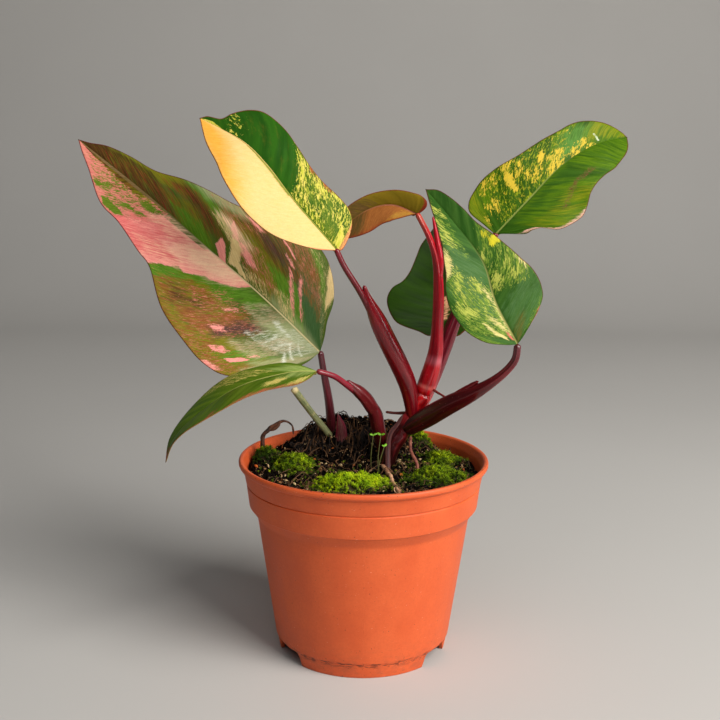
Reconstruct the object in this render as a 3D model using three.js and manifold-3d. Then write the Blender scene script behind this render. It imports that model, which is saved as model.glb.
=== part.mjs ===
// Potted strawberry shake philodendron in a round nursery pot.
// Millimetres, +Z up. The origin is the middle of the pot's foot, on the table, and +Y is the plant's back.
import * as THREE from 'three';
import { mergeVertices } from 'three/addons/utils/BufferGeometryUtils.js';
import Module from 'manifold-3d';

const wasm = await Module();
wasm.setup();

// Driving dimensions
const GAP = 0.3;                 // clear space between pieces that touch on the plant
const POT_HEIGHT = 95;
const LIP_RADIUS = 60;
const LIP_INNER_RADIUS = 57.8;
const LIP_DEPTH = 3;
const WALL = 1.6;
const FOOT_RADIUS = 40.7;
const SEAM_RADIUS = 42.6;        // step where the foot skirt meets the body
const SEAM_HEIGHT = 7.7;
const COLLAR_FOOT_RADIUS = 50.6; // where the plain body runs into the collar
const COLLAR_FOOT_HEIGHT = 64;
const FLOOR_HEIGHT = 6.6;        // underside of the raised ring of the floor
const DISC_RADIUS = 20;          // middle of the floor, pressed down to the table
const POT_SEGMENTS = 40;
const NOTCH_WIDTH = 22;
const NOTCH_DEPTH = 9;
const NOTCH_ANGLES = [-30, 90, 210];
const DRAIN_RADIUS = 4;
const DRAIN_RING_RADIUS = 31;

// The two faces of the wall, each as [radius, height] from the foot up to the lip.
const OUTER_WALL = [
  [FOOT_RADIUS, 0], [SEAM_RADIUS - 0.4, SEAM_HEIGHT - 0.3], [SEAM_RADIUS, SEAM_HEIGHT],
  [COLLAR_FOOT_RADIUS, COLLAR_FOOT_HEIGHT], [52.1, 67.4], [53.8, 70.1], [54.8, 73], [57, 86], [57.9, 91.2],
];
const INNER_WALL = [
  [SEAM_RADIUS - WALL + 0.1, FLOOR_HEIGHT + WALL + 1],
  [COLLAR_FOOT_RADIUS - WALL, COLLAR_FOOT_HEIGHT + 0.4],
  [50.6, 68.3], [52.3, 70.9], [53.2, 73], [55.4, 86], [56.3, 91],
];

// The potting mix lies level but for three rises, each a bell with its middle and its spread along X and Y.
const SOIL_LEVEL = 88;
const ROOT_MOUND = { at: [-5, 36], spread: [31, 17], height: 16 };
const STEM_HEAP = { at: [10, 4], spread: [14, 14], height: 3 };
const LEFT_BANK = { at: [-50, 8], spread: [14, 22], height: 3 };
const SOIL_RINGS = 13;
const SOIL_SECTORS = 40;
const SOIL_WALL_HEIGHTS = [73, 70.9, 68.3, 64, FLOOR_HEIGHT + WALL + 1 + GAP];

const BLADE_THICKNESS = 0.7;
const MIDRIB_THICKNESS = 1.9;
const VEIN_SWEEP = 1.5;          // above 1, the side veins leave the midrib low down and fan out
const HALF_SHIFT = 0.6 * Math.PI; // the waves of a blade's two halves are out of step
const STALK_RADIUS = 0.4;
const SCALE_CLEARANCE = 1.2;     // space in the mix round a dried scale's foot

const plant = new THREE.Group();
plant.name = 'potted_strawberry_shake_philodendron';

const colours = {
  terracotta: { color: 0xc9653a, roughness: 0.5, metalness: 0 },
  soil: { color: 0x2a211b, roughness: 0.95, metalness: 0 },
  moss: { color: 0x6d8f1e, roughness: 0.9, metalness: 0 },
  stem: { color: 0x7a0f1e, roughness: 0.3, metalness: 0 },
  darkStem: { color: 0x3f1014, roughness: 0.4, metalness: 0 },
  redStem: { color: 0xb11a2c, roughness: 0.25, metalness: 0 },
  cutStem: { color: 0xa9a574, roughness: 0.6, metalness: 0 },
  driedPlant: { color: 0x5d4332, roughness: 0.8, metalness: 0 },
  magentaSheath: { color: 0x8e3a4c, roughness: 0.5, metalness: 0 },
  seedling: { color: 0x86b52a, roughness: 0.5, metalness: 0 },
  pinkLeaf: { color: 0x9a6a48, roughness: 0.4, metalness: 0 },
  halfYellowLeaf: { color: 0xd9c268, roughness: 0.4, metalness: 0 },
  youngLeaf: { color: 0x9a6a24, roughness: 0.35, metalness: 0 },
  shadedLeaf: { color: 0x2f4a14, roughness: 0.45, metalness: 0 },
  frontLeaf: { color: 0x4f7a42, roughness: 0.4, metalness: 0 },
  upperLeaf: { color: 0x5a7a14, roughness: 0.4, metalness: 0 },
  archingLeaf: { color: 0x4c6a18, roughness: 0.4, metalness: 0 },
};

function toSolid(geometry) {
  const bare = geometry.index ? geometry.toNonIndexed() : geometry.clone();
  bare.deleteAttribute('normal');
  bare.deleteAttribute('uv');
  const merged = mergeVertices(bare, 1e-4);
  return new wasm.Manifold(new wasm.Mesh({
    numProp: 3,
    vertProperties: merged.attributes.position.array,
    triVerts: new Uint32Array(merged.index.array),
  }));
}

function toGeometry(solid) {
  const mesh = solid.getMesh();
  const geometry = new THREE.BufferGeometry();
  geometry.setAttribute('position', new THREE.BufferAttribute(new Float32Array(mesh.vertProperties), 3));
  geometry.setIndex(new THREE.BufferAttribute(new Uint32Array(mesh.triVerts), 1));
  return geometry;
}

// A cut can leave a loose scrap, so only the largest body of a piece is kept.
function largestBody(solid) {
  return solid.decompose().reduce((best, body) => (body.volume() > best.volume() ? body : best));
}

function add(name, solid, colour) {
  const material = new THREE.MeshStandardMaterial(colours[colour]);
  const mesh = new THREE.Mesh(toGeometry(largestBody(solid)), material);
  mesh.name = name;
  plant.add(mesh);
}

function smoothCurve(points) {
  return new THREE.CatmullRomCurve3(points.map((p) => new THREE.Vector3(...p)), false, 'catmullrom', 0.5);
}

function solidFrom(positions, triangles) {
  const geometry = new THREE.BufferGeometry();
  geometry.setAttribute('position', new THREE.Float32BufferAttribute(positions.flat(), 3));
  geometry.setIndex(triangles.flat());
  return toSolid(geometry);
}

// Pot: one moulded wall with a lip, a collar, a stepped foot and a floor raised round its middle disc.
function potProfile() {
  const round = 0.6;
  return [
    [0, 0], [DISC_RADIUS, 0], [DISC_RADIUS + 3, FLOOR_HEIGHT],
    [FOOT_RADIUS - WALL, FLOOR_HEIGHT], [FOOT_RADIUS - WALL - 0.2, 0],
    ...OUTER_WALL,
    [LIP_RADIUS - round, POT_HEIGHT - LIP_DEPTH], [LIP_RADIUS, POT_HEIGHT - LIP_DEPTH + round],
    [LIP_RADIUS, POT_HEIGHT - round], [LIP_RADIUS - round, POT_HEIGHT],
    [LIP_INNER_RADIUS + round, POT_HEIGHT], [LIP_INNER_RADIUS, POT_HEIGHT - round],
    ...INNER_WALL.toReversed(),
    [INNER_WALL[0][0] - 1.2, FLOOR_HEIGHT + WALL],
    [DISC_RADIUS + 3.4, FLOOR_HEIGHT + WALL], [DISC_RADIUS + round, WALL], [0, WALL],
  ];
}

function makePot() {
  const outline = potProfile().map(([r, z]) => new THREE.Vector2(r, z));
  let pot = toSolid(new THREE.LatheGeometry(outline, POT_SEGMENTS).rotateX(Math.PI / 2));
  for (const degrees of NOTCH_ANGLES) {
    const angle = THREE.MathUtils.degToRad(degrees);
    const half = NOTCH_WIDTH / 2;
    const gate = new THREE.Shape([
      new THREE.Vector2(-half, -1), new THREE.Vector2(half, -1),
      new THREE.Vector2(half - 2, FLOOR_HEIGHT), new THREE.Vector2(2 - half, FLOOR_HEIGHT),
    ]);
    const notch = new THREE.ExtrudeGeometry(gate, { depth: NOTCH_DEPTH, bevelEnabled: false });
    notch.rotateX(Math.PI / 2).rotateZ(Math.PI / 2);
    notch.translate(SEAM_RADIUS + 1 - NOTCH_DEPTH, 0, 0).rotateZ(angle);
    const drain = new THREE.CylinderGeometry(DRAIN_RADIUS, DRAIN_RADIUS, 4 * WALL, 12);
    drain.rotateX(Math.PI / 2).translate(DRAIN_RING_RADIUS, 0, FLOOR_HEIGHT + WALL / 2).rotateZ(angle);
    pot = pot.subtract(toSolid(notch)).subtract(toSolid(drain));
  }
  return pot;
}

// Inside radius of the pot's wall at a height.
function insideRadius(z) {
  let k = 0;
  while (k < INNER_WALL.length - 2 && z > INNER_WALL[k + 1][1]) k += 1;
  const [[lowRadius, low], [highRadius, high]] = INNER_WALL.slice(k, k + 2);
  return THREE.MathUtils.lerp(lowRadius, highRadius, (z - low) / (high - low));
}

// Height of the potting mix: its level, its three rises and low ripples. The root mound has a flatter top.
function soilTop(x, y) {
  const rise = ({ at, spread, height }, power) => {
    const across = Math.abs((x - at[0]) / spread[0]) ** power;
    const back = ((y - at[1]) / spread[1]) ** 2;
    return height * Math.exp(-across - back);
  };
  const ripple = 0.6 * Math.sin(0.31 * x + 1) * Math.cos(0.27 * y) + 0.4 * Math.sin(0.45 * y - 0.2 * x);
  return SOIL_LEVEL + rise(ROOT_MOUND, 4) + rise(STEM_HEAP, 2) + rise(LEFT_BANK, 2) + ripple;
}

// The mix fills the pot: rings of points over its top, then rings down the wall to the floor's corner.
function makeGround() {
  const points = [[0, 0, soilTop(0, 0)]];
  const addRing = (r, heightAt) => {
    for (let k = 0; k < SOIL_SECTORS; k += 1) {
      const angle = (2 * Math.PI * k) / SOIL_SECTORS;
      const [x, y] = [r * Math.cos(angle), r * Math.sin(angle)];
      points.push([x, y, heightAt(x, y)]);
    }
  };
  const edge = insideRadius(SOIL_LEVEL - 2) - GAP;
  for (let ring = 1; ring <= SOIL_RINGS; ring += 1) addRing((edge * ring) / SOIL_RINGS, soilTop);
  for (const z of SOIL_WALL_HEIGHTS) addRing(insideRadius(z) - GAP, () => z);
  points.push([0, 0, SOIL_WALL_HEIGHTS.at(-1)]);
  const triangles = [];
  const rows = SOIL_RINGS + SOIL_WALL_HEIGHTS.length;
  const at = (row, k) => 1 + (row - 1) * SOIL_SECTORS + (k % SOIL_SECTORS);
  for (let k = 0; k < SOIL_SECTORS; k += 1) {
    triangles.push([0, at(1, k), at(1, k + 1)]);
    for (let row = 1; row < rows; row += 1) {
      triangles.push([at(row, k), at(row + 1, k), at(row + 1, k + 1)]);
      triangles.push([at(row, k), at(row + 1, k + 1), at(row, k + 1)]);
    }
    triangles.push([points.length - 1, at(rows, k + 1), at(rows, k)]);
  }
  return solidFrom(points, triangles);
}

// A round limb along a smooth curve. Its radii are given at even steps of its length.
function limb(points, radii, { grow = 0, sides = 8, rings = 11 } = {}) {
  const path = smoothCurve(points);
  const frames = path.computeFrenetFrames(rings, false);
  const positions = [];
  for (let ring = 0; ring <= rings; ring += 1) {
    const step = (ring / rings) * (radii.length - 1);
    const before = Math.min(Math.floor(step), radii.length - 2);
    const radius = THREE.MathUtils.lerp(radii[before], radii[before + 1], step - before) + grow;
    const centre = path.getPointAt(ring / rings);
    if (ring === 0) centre.addScaledVector(frames.tangents[0], -grow);
    if (ring === rings) centre.addScaledVector(frames.tangents[rings], grow);
    for (let k = 0; k < sides; k += 1) {
      const angle = (2 * Math.PI * k) / sides;
      const p = centre.clone();
      p.addScaledVector(frames.normals[ring], radius * Math.cos(angle));
      p.addScaledVector(frames.binormals[ring], radius * Math.sin(angle));
      positions.push([p.x, p.y, p.z]);
    }
  }
  const triangles = [];
  const at = (ring, k) => ring * sides + (k % sides);
  for (let k = 0; k < sides; k += 1) {
    for (let ring = 0; ring < rings; ring += 1) {
      triangles.push([at(ring, k), at(ring, k + 1), at(ring + 1, k + 1)]);
      triangles.push([at(ring, k), at(ring + 1, k + 1), at(ring + 1, k)]);
    }
  }
  for (let k = 1; k < sides - 1; k += 1) {
    triangles.push([at(0, 0), at(0, k + 1), at(0, k)]);
    triangles.push([at(rings, 0), at(rings, k), at(rings, k + 1)]);
  }
  return solidFrom(positions, triangles);
}

// Leaf blade. A flat outline, in mm along and out from the midrib, is bent round the midrib's curve.
// Rows follow the side veins, from the base (s = 0) to the tip (s = 1), and columns run out to the margin.
function blade(leaf) {
  const spine = smoothCurve(leaf.spine);
  spine.arcLengthDivisions = 800;
  const length = spine.getLength();
  const margins = [leaf.left, leaf.right].map((points) => (
    smoothCurve([[0, 0], ...points, [length, 0]].map(([x, y]) => [x, y, 0]))));
  const faceBase = new THREE.Vector3(...leaf.faceBase).normalize();
  const faceTip = new THREE.Vector3(...leaf.faceTip).normalize();
  const [swell, waves, phase] = leaf.wave;

  function frameAt(x) {
    const u = THREE.MathUtils.clamp(x / length, 0, 1);
    const along = spine.getTangentAt(u);
    const centre = spine.getPointAt(u).addScaledVector(along, x - u * length);
    const normal = faceBase.clone().lerp(faceTip, u);
    normal.addScaledVector(along, -normal.dot(along)).normalize();
    return { centre, normal, side: along.clone().cross(normal) };
  }

  function surface(x, y) {
    const { centre, normal, side } = frameAt(x);
    const half = y > 0 ? 1 : 0;
    const reach = Math.abs(y);
    const angle = THREE.MathUtils.degToRad(leaf.fold[half] + (leaf.curl[half] * reach) / leaf.wide);
    const turn = 2 * Math.PI * ((waves * x) / length + phase) + HALF_SHIFT * half;
    const ripple = swell * (reach / leaf.wide) ** 2 * Math.sin(turn);
    centre.addScaledVector(side, Math.sign(y) * reach * Math.cos(angle));
    return centre.addScaledVector(normal, reach * Math.sin(angle) + ripple);
  }

  function normalAt(x, y) {
    if (y === 0) return frameAt(x).normal;
    const step = 0.05;
    const outward = surface(x, y + step).sub(surface(x, y - step));
    return outward.cross(surface(x + step, y).sub(surface(x - step, y))).normalize();
  }

  // The upper and the under point of the blade. The midrib is thickest at the base and swells the
  // underside.
  function skin(x, y, taper) {
    const rib = THREE.MathUtils.lerp(MIDRIB_THICKNESS, BLADE_THICKNESS, taper);
    const up = normalAt(x, y);
    const top = surface(x, y).addScaledVector(up, BLADE_THICKNESS / 2);
    const under = top.clone().addScaledVector(up, y === 0 ? -rib : -BLADE_THICKNESS);
    return [top, under];
  }

  const { rows, columns } = leaf;
  const tops = [];
  const unders = [];
  const push = (x, y, taper) => {
    const [top, under] = skin(x, y, taper);
    tops.push([top.x, top.y, top.z]);
    unders.push([under.x, under.y, under.z]);
  };
  push(0, 0, 0);
  for (let row = 1; row < rows; row += 1) {
    const s = row / rows;
    const root = length * s ** VEIN_SWEEP;
    for (let k = -columns; k <= columns; k += 1) {
      const t = Math.abs(k) / columns;
      const end = margins[k > 0 ? 1 : 0].getPointAt(s);
      const out = end.y * t * (1.2 - 0.2 * t);
      push(root + (end.x - root) * t * (0.7 + 0.3 * t), k === 0 ? 0 : Math.sign(k) * out, s);
    }
  }
  push(length, 0, 1);

  const across = 2 * columns + 1;
  const tip = tops.length - 1;
  const at = (row, k) => (row === 0 ? 0 : row === rows ? tip : 1 + (row - 1) * across + k);
  const below = tops.length;
  const triangles = [];
  const both = (a, b, c) => {
    triangles.push([a, b, c]);
    triangles.push([a + below, c + below, b + below]);
  };
  for (let k = 0; k < across - 1; k += 1) {
    both(0, at(1, k + 1), at(1, k));
    both(at(rows - 1, k), at(rows - 1, k + 1), tip);
    for (let row = 1; row < rows - 1; row += 1) {
      both(at(row, k), at(row, k + 1), at(row + 1, k + 1));
      both(at(row, k), at(row + 1, k + 1), at(row + 1, k));
    }
  }
  for (let row = 0; row < rows; row += 1) {
    const [a, b] = [at(row, across - 1), at(row + 1, across - 1)];
    triangles.push([a, a + below, b + below], [a, b + below, b]);
    const [c, d] = [at(row, 0), at(row + 1, 0)];
    triangles.push([c, d + below, c + below], [c, d, d + below]);
  }
  return solidFrom([...tops, ...unders], triangles);
}

// Main stem: a short dark rootstock that leans out of the mix and ends in a bright red joint.
const stem = {
  name: 'stem', colour: 'stem',
  limbs: [
    { points: [[8, 3, 76], [11, 3, 90], [14, 3.5, 99], [19, 5, 106.5], [24.2, 5.2, 116.4],
      [30, 5.4, 126.5]],
      radii: [3.6, 4.2, 4.6, 4.2, 3.6, 3.7] }],
};

// Petioles, each with the broad sheath that its lower part carries. Those of the main stem start inside it.
const petioles = [
  { name: 'petiole_half_yellow', colour: 'stem', limbs: [
    { points: [[24, 4, 112], [19.5, 2, 131.9], [7.2, -1, 157], [-1.4, -5, 174.1], [-9.3, -7, 186.9],
      [-12.8, -8, 194.2]], radii: [2.4, 3, 3, 2.2, 1.6, 1.4] },
    { points: [[24, 4, 112], [20.5, 1.8, 131], [8.6, -1.4, 156.4], [1.6, -4, 172], [-0.6, -4.8, 178.6]],
      radii: [2.8, 4.4, 4.6, 4.2, 0.6] }] },
  { name: 'petiole_young', colour: 'redStem', limbs: [
    { points: [[30.2, 5.4, 127.2], [31.8, 5, 135.7], [34.4, 5, 153.8], [34.9, 5, 173],
      [33.6, 4.5, 188.7], [30, 4, 200],
      [24.6, 3, 210.2]], radii: [4, 3.9, 3.3, 2.9, 2.6, 1.8, 1.4] },
    { points: [[35, 4.6, 180], [35.2, 4.3, 190], [33.4, 4, 200], [31.4, 4, 210]],
      radii: [1.6, 1.7, 1.2, 0.5] }] },
  { name: 'petiole_front', colour: 'darkStem', limbs: [
    { points: [[19, 5, 106.8], [29.3, 0, 114.2], [40.5, -8, 123.1], [52.1, -16, 131.3], [61.6, -23, 140],
      [67, -28, 148], [67.9, -30.2, 154.8]], radii: [3.6, 4.9, 4.7, 4.3, 3.1, 2, 1.7] },
    { points: [[38, -6.5, 123], [47, -12.6, 131.4], [52.6, -16, 136]], radii: [2, 1.6, 0.7] }] },
  { name: 'petiole_upper', colour: 'darkStem', limbs: [
    { points: [[22, 7, 110], [26.8, 10, 117.5], [31, 13, 128.3], [37.5, 15, 144.8], [44, 15.5, 162],
      [53, 15, 184],
      [61.7, 14, 200.1]], radii: [2.6, 3.8, 3.7, 3.4, 2.8, 2.1, 1.5] }] },
  { name: 'petiole_shaded', colour: 'darkStem', limbs: [
    { points: [[18, 7, 102], [21, 13, 107.5], [25.4, 19, 118], [30.4, 22, 128], [35.2, 25.5, 141],
      [37, 27, 150.2]],
      radii: [2.2, 2, 1.8, 1.6, 1.4, 1.3] }] },
  { name: 'petiole_pink', colour: 'darkStem', limbs: [
    { points: [[-14.8, 31, 88], [-16, 30, 98], [-17, 29, 110.7], [-18.2, 28, 119.7], [-19.8, 27, 128.7],
      [-21.6, 26.1, 140]], radii: [2.3, 2.2, 2.1, 1.9, 1.6] }] },
  { name: 'petiole_arching', colour: 'darkStem', limbs: [
    { points: [[10.6, 13, 82], [9.7, 11, 90.9], [8.5, 9, 100.7], [7, 7, 107.8], [5.2, 4, 116],
      [0.4, -1, 123.7],
      [-8.1, -8, 131.9], [-14, -12, 136.9], [-20.8, -15.6, 139.7]],
      radii: [2, 2.2, 3.2, 3.6, 2.6, 1.6, 1.4] },
    { points: [[5.2, 4, 116], [0.6, -1.2, 124.2], [-5, -5.8, 130.6], [-8, -7.8, 134]],
      radii: [3.2, 3.3, 3, 0.7] }] },
];

// Small pieces with a foot in the mix: the stub of a cut petiole and a dried tendril.
const standing = [
  { name: 'cut_petiole', colour: 'cutStem', limbs: [
    { points: [[-12.6, 27.5, 90], [-16.8, 24, 98.4], [-26.6, 18, 112.8], [-34.6, 12.4, 125.6]],
      radii: [1.8, 2, 2, 2.1] }] },
  { name: 'dry_tendril', colour: 'driedPlant', limbs: [
    { points: [[-48.6, 15, 82], [-49.6, 14, 92.6], [-49.8, 14, 100.4], [-46.9, 15, 104], [-42, 16, 107.2],
      [-38.7, 17, 107.8], [-35.6, 18, 105.2], [-34.9, 18, 100.6]],
      radii: [1.1, 1.1, 1.3, 1, 1.2, 0.6, 0.5, 0.5] }] },
];

// Aerial roots leave the stem, and a long one lies along the mix to the front of the pot.
const roots = [
  { name: 'aerial_root_right', points: [[32.4, 3.4, 128], [35.4, 1, 126.4], [38.8, -1.4, 124.8]],
    radii: [0.7, 0.6, 0.5] },
  { name: 'aerial_root_left', points: [[21.5, 4.4, 115.6], [16, 5.4, 115.2], [10.6, 6.6, 115.4]],
    radii: [0.9, 0.7, 0.6] },
  { name: 'aerial_root_down', points: [[22.6, -1, 105.4], [22.6, -2.4, 98.8], [25.4, -7, 93.4],
    [26.4, -8, 86]],
    radii: [0.7, 0.8, 0.8, 0.6] },
];

// Seedlings on thread-like stalks in front of the arching leaf's petiole, each with two small leaves.
const seedlings = [
  { name: 'seedling_left', foot: [3.8, -1, 86], head: [4.8, 0.5, 104.6], leaf: 1.8, turn: 0.3 },
  { name: 'seedling_middle', foot: [7, -4.6, 86], head: [8.2, -1.8, 105.6], leaf: 1.6, turn: -0.4 },
  { name: 'seedling_right', foot: [6.4, -9.4, 86], head: [9.6, -7.4, 101.4], leaf: 1.8, turn: 0.9 },
];

// A seedling's stalk bows a little, and its two leaves are flat ovals that tilt forward and lift at
// their ends.
function seedling({ foot, head, leaf, turn }, grow = 0) {
  const bow = 0.6;
  const [tilt, lift] = [0.7, 0.35];
  const [width, thickness, reach] = [0.55 * leaf, 0.45, 0.85 * leaf];
  const middle = [(foot[0] + head[0]) / 2 - bow, (foot[1] + head[1]) / 2, (foot[2] + head[2]) / 2];
  let solid = limb([foot, middle, head], [STALK_RADIUS, STALK_RADIUS], { sides: 5, rings: 4, grow });
  for (const side of [-1, 1]) {
    const lobe = new THREE.SphereGeometry(1, 7, 4).scale(leaf, width, thickness);
    lobe.translate(side * reach, 0, 0).rotateX(tilt).rotateY(-side * lift).rotateZ(turn);
    solid = solid.add(toSolid(lobe.translate(...head)));
  }
  return solid;
}

const lyingRoot = {
  points: [[9.4, -5], [11, -10], [12.8, -18], [14.6, -31], [17, -45]], radii: [0.8, 0.9, 0.8, 0.6],
};

// Dried scales round the old stems, built as small folded blades.
const scales = [
  { name: 'old_sheath', colour: 'magentaSheath',
    spine: [[-10, 22.6, 90], [-11, 20.6, 98], [-11.4, 19.6, 105], [-13, 19.4, 111.6]],
    right: [[2, 2.6], [9, 3.8], [15, 3.8], [19.6, 2.4]],
    left: [[2, 2.6], [8, 3.6], [15, 3.4], [20, 1.9]],
    faceBase: [0.1, -1, 0.3], faceTip: [0.2, -1, 0.1], fold: [-30, -30], curl: [-10, -10], wide: 4,
    wave: [0, 1, 0], rows: 7, columns: 2 },
  { name: 'dry_bract', colour: 'darkStem',
    spine: [[12, -5.6, 86], [11.6, -3.2, 98], [12.6, -2, 106.4], [16, -1.4, 111.4], [18.8, -1.2, 116.4]],
    right: [[3, 1.6], [12, 2], [24, 1.7], [30, 1.2]],
    left: [[3, 1.6], [12, 1.9], [24, 1.6], [30, 1]],
    faceBase: [0, -1, 0.1], faceTip: [0, -1, 0.1], fold: [-14, -14], curl: [0, 0], wide: 2,
    wave: [0, 1, 0], rows: 8, columns: 1 },
];

// Leaves. spine is the midrib, and right and left are the margins as [along, out] from the midrib, seen
// from
// the face with the tip up. fold and curl are in degrees for [left, right], curl at the half width that
// wide gives.
// wave is [height, waves along the blade, phase].
const leaves = [
  { name: 'leaf_pink', colour: 'pinkLeaf',
    spine: [[-22, 26, 141], [-50, 27, 168], [-79, 30, 193], [-107, 36, 217], [-143, 46, 244]],
    right: [[3.5, 7], [8, 14], [13, 24.5], [23, 34.5], [34, 39.5], [50, 38.5], [65, 33.5], [80, 27],
      [95, 22.8],
      [107, 18.5], [120.5, 12], [135, 9.7], [147, 6.7], [155, 2.4]],
    left: [[2.5, 12.7], [12, 31], [25.5, 43], [37, 46], [51, 45], [70, 40.5], [87, 29], [97, 26.5],
      [114, 22.2],
      [128, 20.2], [145.3, 9.7], [154, 4.6]],
    faceBase: [0.25, -0.85, 0.46], faceTip: [0.25, -0.85, 0.46], fold: [14, 14], curl: [-10, -10], wide: 42,
    wave: [1.4, 2.5, 0.1], rows: 18, columns: 5 },
  { name: 'leaf_half_yellow', colour: 'halfYellowLeaf',
    spine: [[-13, -8, 195], [-33, -8, 218], [-45, -5, 233], [-57, 0, 244], [-77, 8, 254]],
    right: [[-1.3, 2.5], [1.6, 9.7], [5.7, 15.1], [11, 17.6], [18, 17.6], [28.6, 16], [40.4, 15.9],
      [49, 17],
      [56.4, 18.1], [63.3, 18.2], [68.3, 17.5], [72.4, 15], [75.7, 12], [78.7, 8.6], [81.5, 4.4],
      [87.9, 2.6]],
    left: [[6.7, 8.2], [16.4, 15.6], [25.2, 20.3], [33.5, 22.7], [40.7, 23.8], [50.1, 23.2], [63.3, 19.2],
      [77.8, 12.1]],
    faceBase: [0.2, -0.85, 0.48], faceTip: [0.2, -0.85, 0.48], fold: [14, 14], curl: [-6, -8], wide: 21,
    wave: [0.8, 2, 0.2], rows: 17, columns: 4 },
  { name: 'leaf_young', colour: 'youngLeaf',
    spine: [[24, 3, 211], [13, 5, 215], [2, 7, 213], [-10, 7, 205], [-19, 6, 196]],
    right: [[-2, 2.6], [-3, 5.5], [-1.6, 8], [2.3, 9.1], [6.9, 8.5], [15, 7.2], [24, 7], [33, 6.5],
      [42, 4]],
    left: [[1.8, 0.8], [5.9, 5.7], [11.1, 8.7], [19.2, 10], [27, 10.8], [33, 10], [39, 7.6], [45, 4]],
    faceBase: [0, -1, 0.3], faceTip: [-0.3, -1, 0.1], fold: [30, 38], curl: [-10, -10], wide: 11,
    wave: [0, 1, 0], rows: 12, columns: 3 },
  { name: 'leaf_shaded', colour: 'shadedLeaf',
    spine: [[38, 28, 153], [37, 40, 171], [37, 50, 187], [38, 58, 204]],
    right: [[-4.3, 2.9], [-4.9, 8.3], [-2.2, 12.4], [1, 18], [6, 22.5], [13, 23], [20, 20], [27, 16],
      [38, 11],
      [49, 6]],
    left: [[-4.2, 5.7], [-1.8, 11.7], [0.1, 17.7], [2.6, 22.6], [7.3, 25.4], [12.8, 26.6], [17.4, 25.9],
      [21.7, 23.1],
      [25.2, 18], [30.8, 14.1], [38.7, 11], [45.5, 8.6], [52, 4.6]],
    faceBase: [0, -0.75, 0.66], faceTip: [0, -0.8, 0.6], fold: [10, 10], curl: [0, 0], wide: 25,
    wave: [0.6, 2, 0], rows: 14, columns: 4 },
  { name: 'leaf_front', colour: 'frontLeaf',
    spine: [[68, -30, 156], [58, -28, 174], [52, -25, 192], [40, -19, 208], [27, -8, 223]],
    right: [[1.7, 3.6], [5.5, 10.3], [9, 15.9], [14.6, 20.5], [24.6, 21.4], [31.4, 19.8], [36.4, 16],
      [41.5, 12.8],
      [48, 10.3], [55.9, 7.9], [64.8, 7.2], [72.8, 6], [79.3, 4]],
    left: [[2.2, 4.7], [7.8, 12.4], [15.2, 17.6], [21.2, 19.6], [26.5, 20.6], [37, 19.7], [48.6, 16],
      [56.5, 11.5],
      [66.1, 7.2], [74.7, 3.8]],
    faceBase: [-0.1, -0.85, 0.46], faceTip: [-0.1, -0.85, 0.46], fold: [16, 14], curl: [-8, -8], wide: 21,
    wave: [0.8, 2.5, 0.3], rows: 15, columns: 4 },
  { name: 'leaf_upper', colour: 'upperLeaf',
    spine: [[62, 14, 201], [78, 17, 218], [94, 22, 234], [112, 30, 244], [128, 38, 247]],
    right: [[2, 1.2], [9.1, 10], [13.3, 11.8], [17.2, 14.6], [21, 20], [26.4, 22.9], [33.2, 24.5],
      [39, 23.1], [46.8, 19.6],
      [53.4, 17.6], [60.6, 16.3], [70.6, 14.9], [79.5, 10.6], [84.2, 6]],
    left: [[-0.5, 7.8], [-0.9, 15.8], [2.2, 19.6], [7.2, 21.4], [15.4, 22.5], [25.4, 20.9], [36, 17.6],
      [45.8, 15.6],
      [54.6, 14.3], [61.3, 14], [68, 12.4], [77.3, 8], [84.3, 3.2]],
    faceBase: [0.1, -0.9, 0.4], faceTip: [0.1, -0.9, 0.4], fold: [12, 14], curl: [-8, -8], wide: 23,
    wave: [1, 2.5, 0.4], rows: 16, columns: 4 },
  { name: 'leaf_arching', colour: 'archingLeaf',
    spine: [[-22, -16, 140], [-35, -20, 140], [-56, -26, 135], [-74, -31, 124], [-85, -35, 113],
      [-89, -37, 102]],
    right: [[4.6, 4.4], [10.8, 9.7], [18, 12.6], [26, 14], [33.3, 15.7], [40.7, 16.8], [49, 16],
      [57.5, 13], [66, 10],
      [73, 7.5], [80, 4.5]],
    left: [[6.3, 10], [12.9, 15.2], [20, 15.5], [27, 15.4], [35.2, 16], [43.4, 16.2], [51.2, 16],
      [61.5, 14.5], [69, 11],
      [76, 7], [82, 3.4]],
    faceBase: [-0.1, -0.25, 1], faceTip: [-0.9, -0.2, 0.3], fold: [7, 7], curl: [-6, -6], wide: 18,
    wave: [0, 2, 0.2], rows: 15, columns: 4 },
];

// Moss cushions: low bumpy domes, each with its middle, its half length and half width, and its height.
const cushions = [
  { name: 'moss_front', at: [-6, -26], size: [17, 10], height: 4.6 },
  { name: 'moss_left', at: [-33, 1], size: [9, 9], height: 5 },
  { name: 'moss_left_rim', at: [-48, 12], size: [5, 8], height: 3 },
  { name: 'moss_right', at: [36, -14], size: [13, 11], height: 3.4 },
  { name: 'moss_right_side', at: [39, 14], size: [8, 10], height: 3 },
  { name: 'moss_back_right', at: [28, 37], size: [7, 6], height: 5 },
];

function cushion({ at: [cx, cy], size: [a, b], height }) {
  const [lobeDepth, bumpHeight, footing] = [0.12, 0.15, 0.9];
  const ball = new THREE.SphereGeometry(1, 18, 12).rotateX(Math.PI / 2);
  const place = ball.attributes.position;
  for (let k = 0; k < place.count; k += 1) {
    const [x, y, z] = [place.getX(k), place.getY(k), place.getZ(k)];
    const edge = 1 + lobeDepth * Math.sin(3 * Math.atan2(y, x) + cx) * Math.hypot(x, y);
    const bump = 1 + bumpHeight * Math.sin(5 * x + cy) * Math.cos(4 * y + cx) * (1 - z * z);
    const under = soilTop(cx + a * x * footing, cy + b * y * footing);
    place.setXYZ(k, cx + a * x * edge, cy + b * y * edge, under + height * z * bump);
  }
  return toSolid(ball);
}

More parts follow.
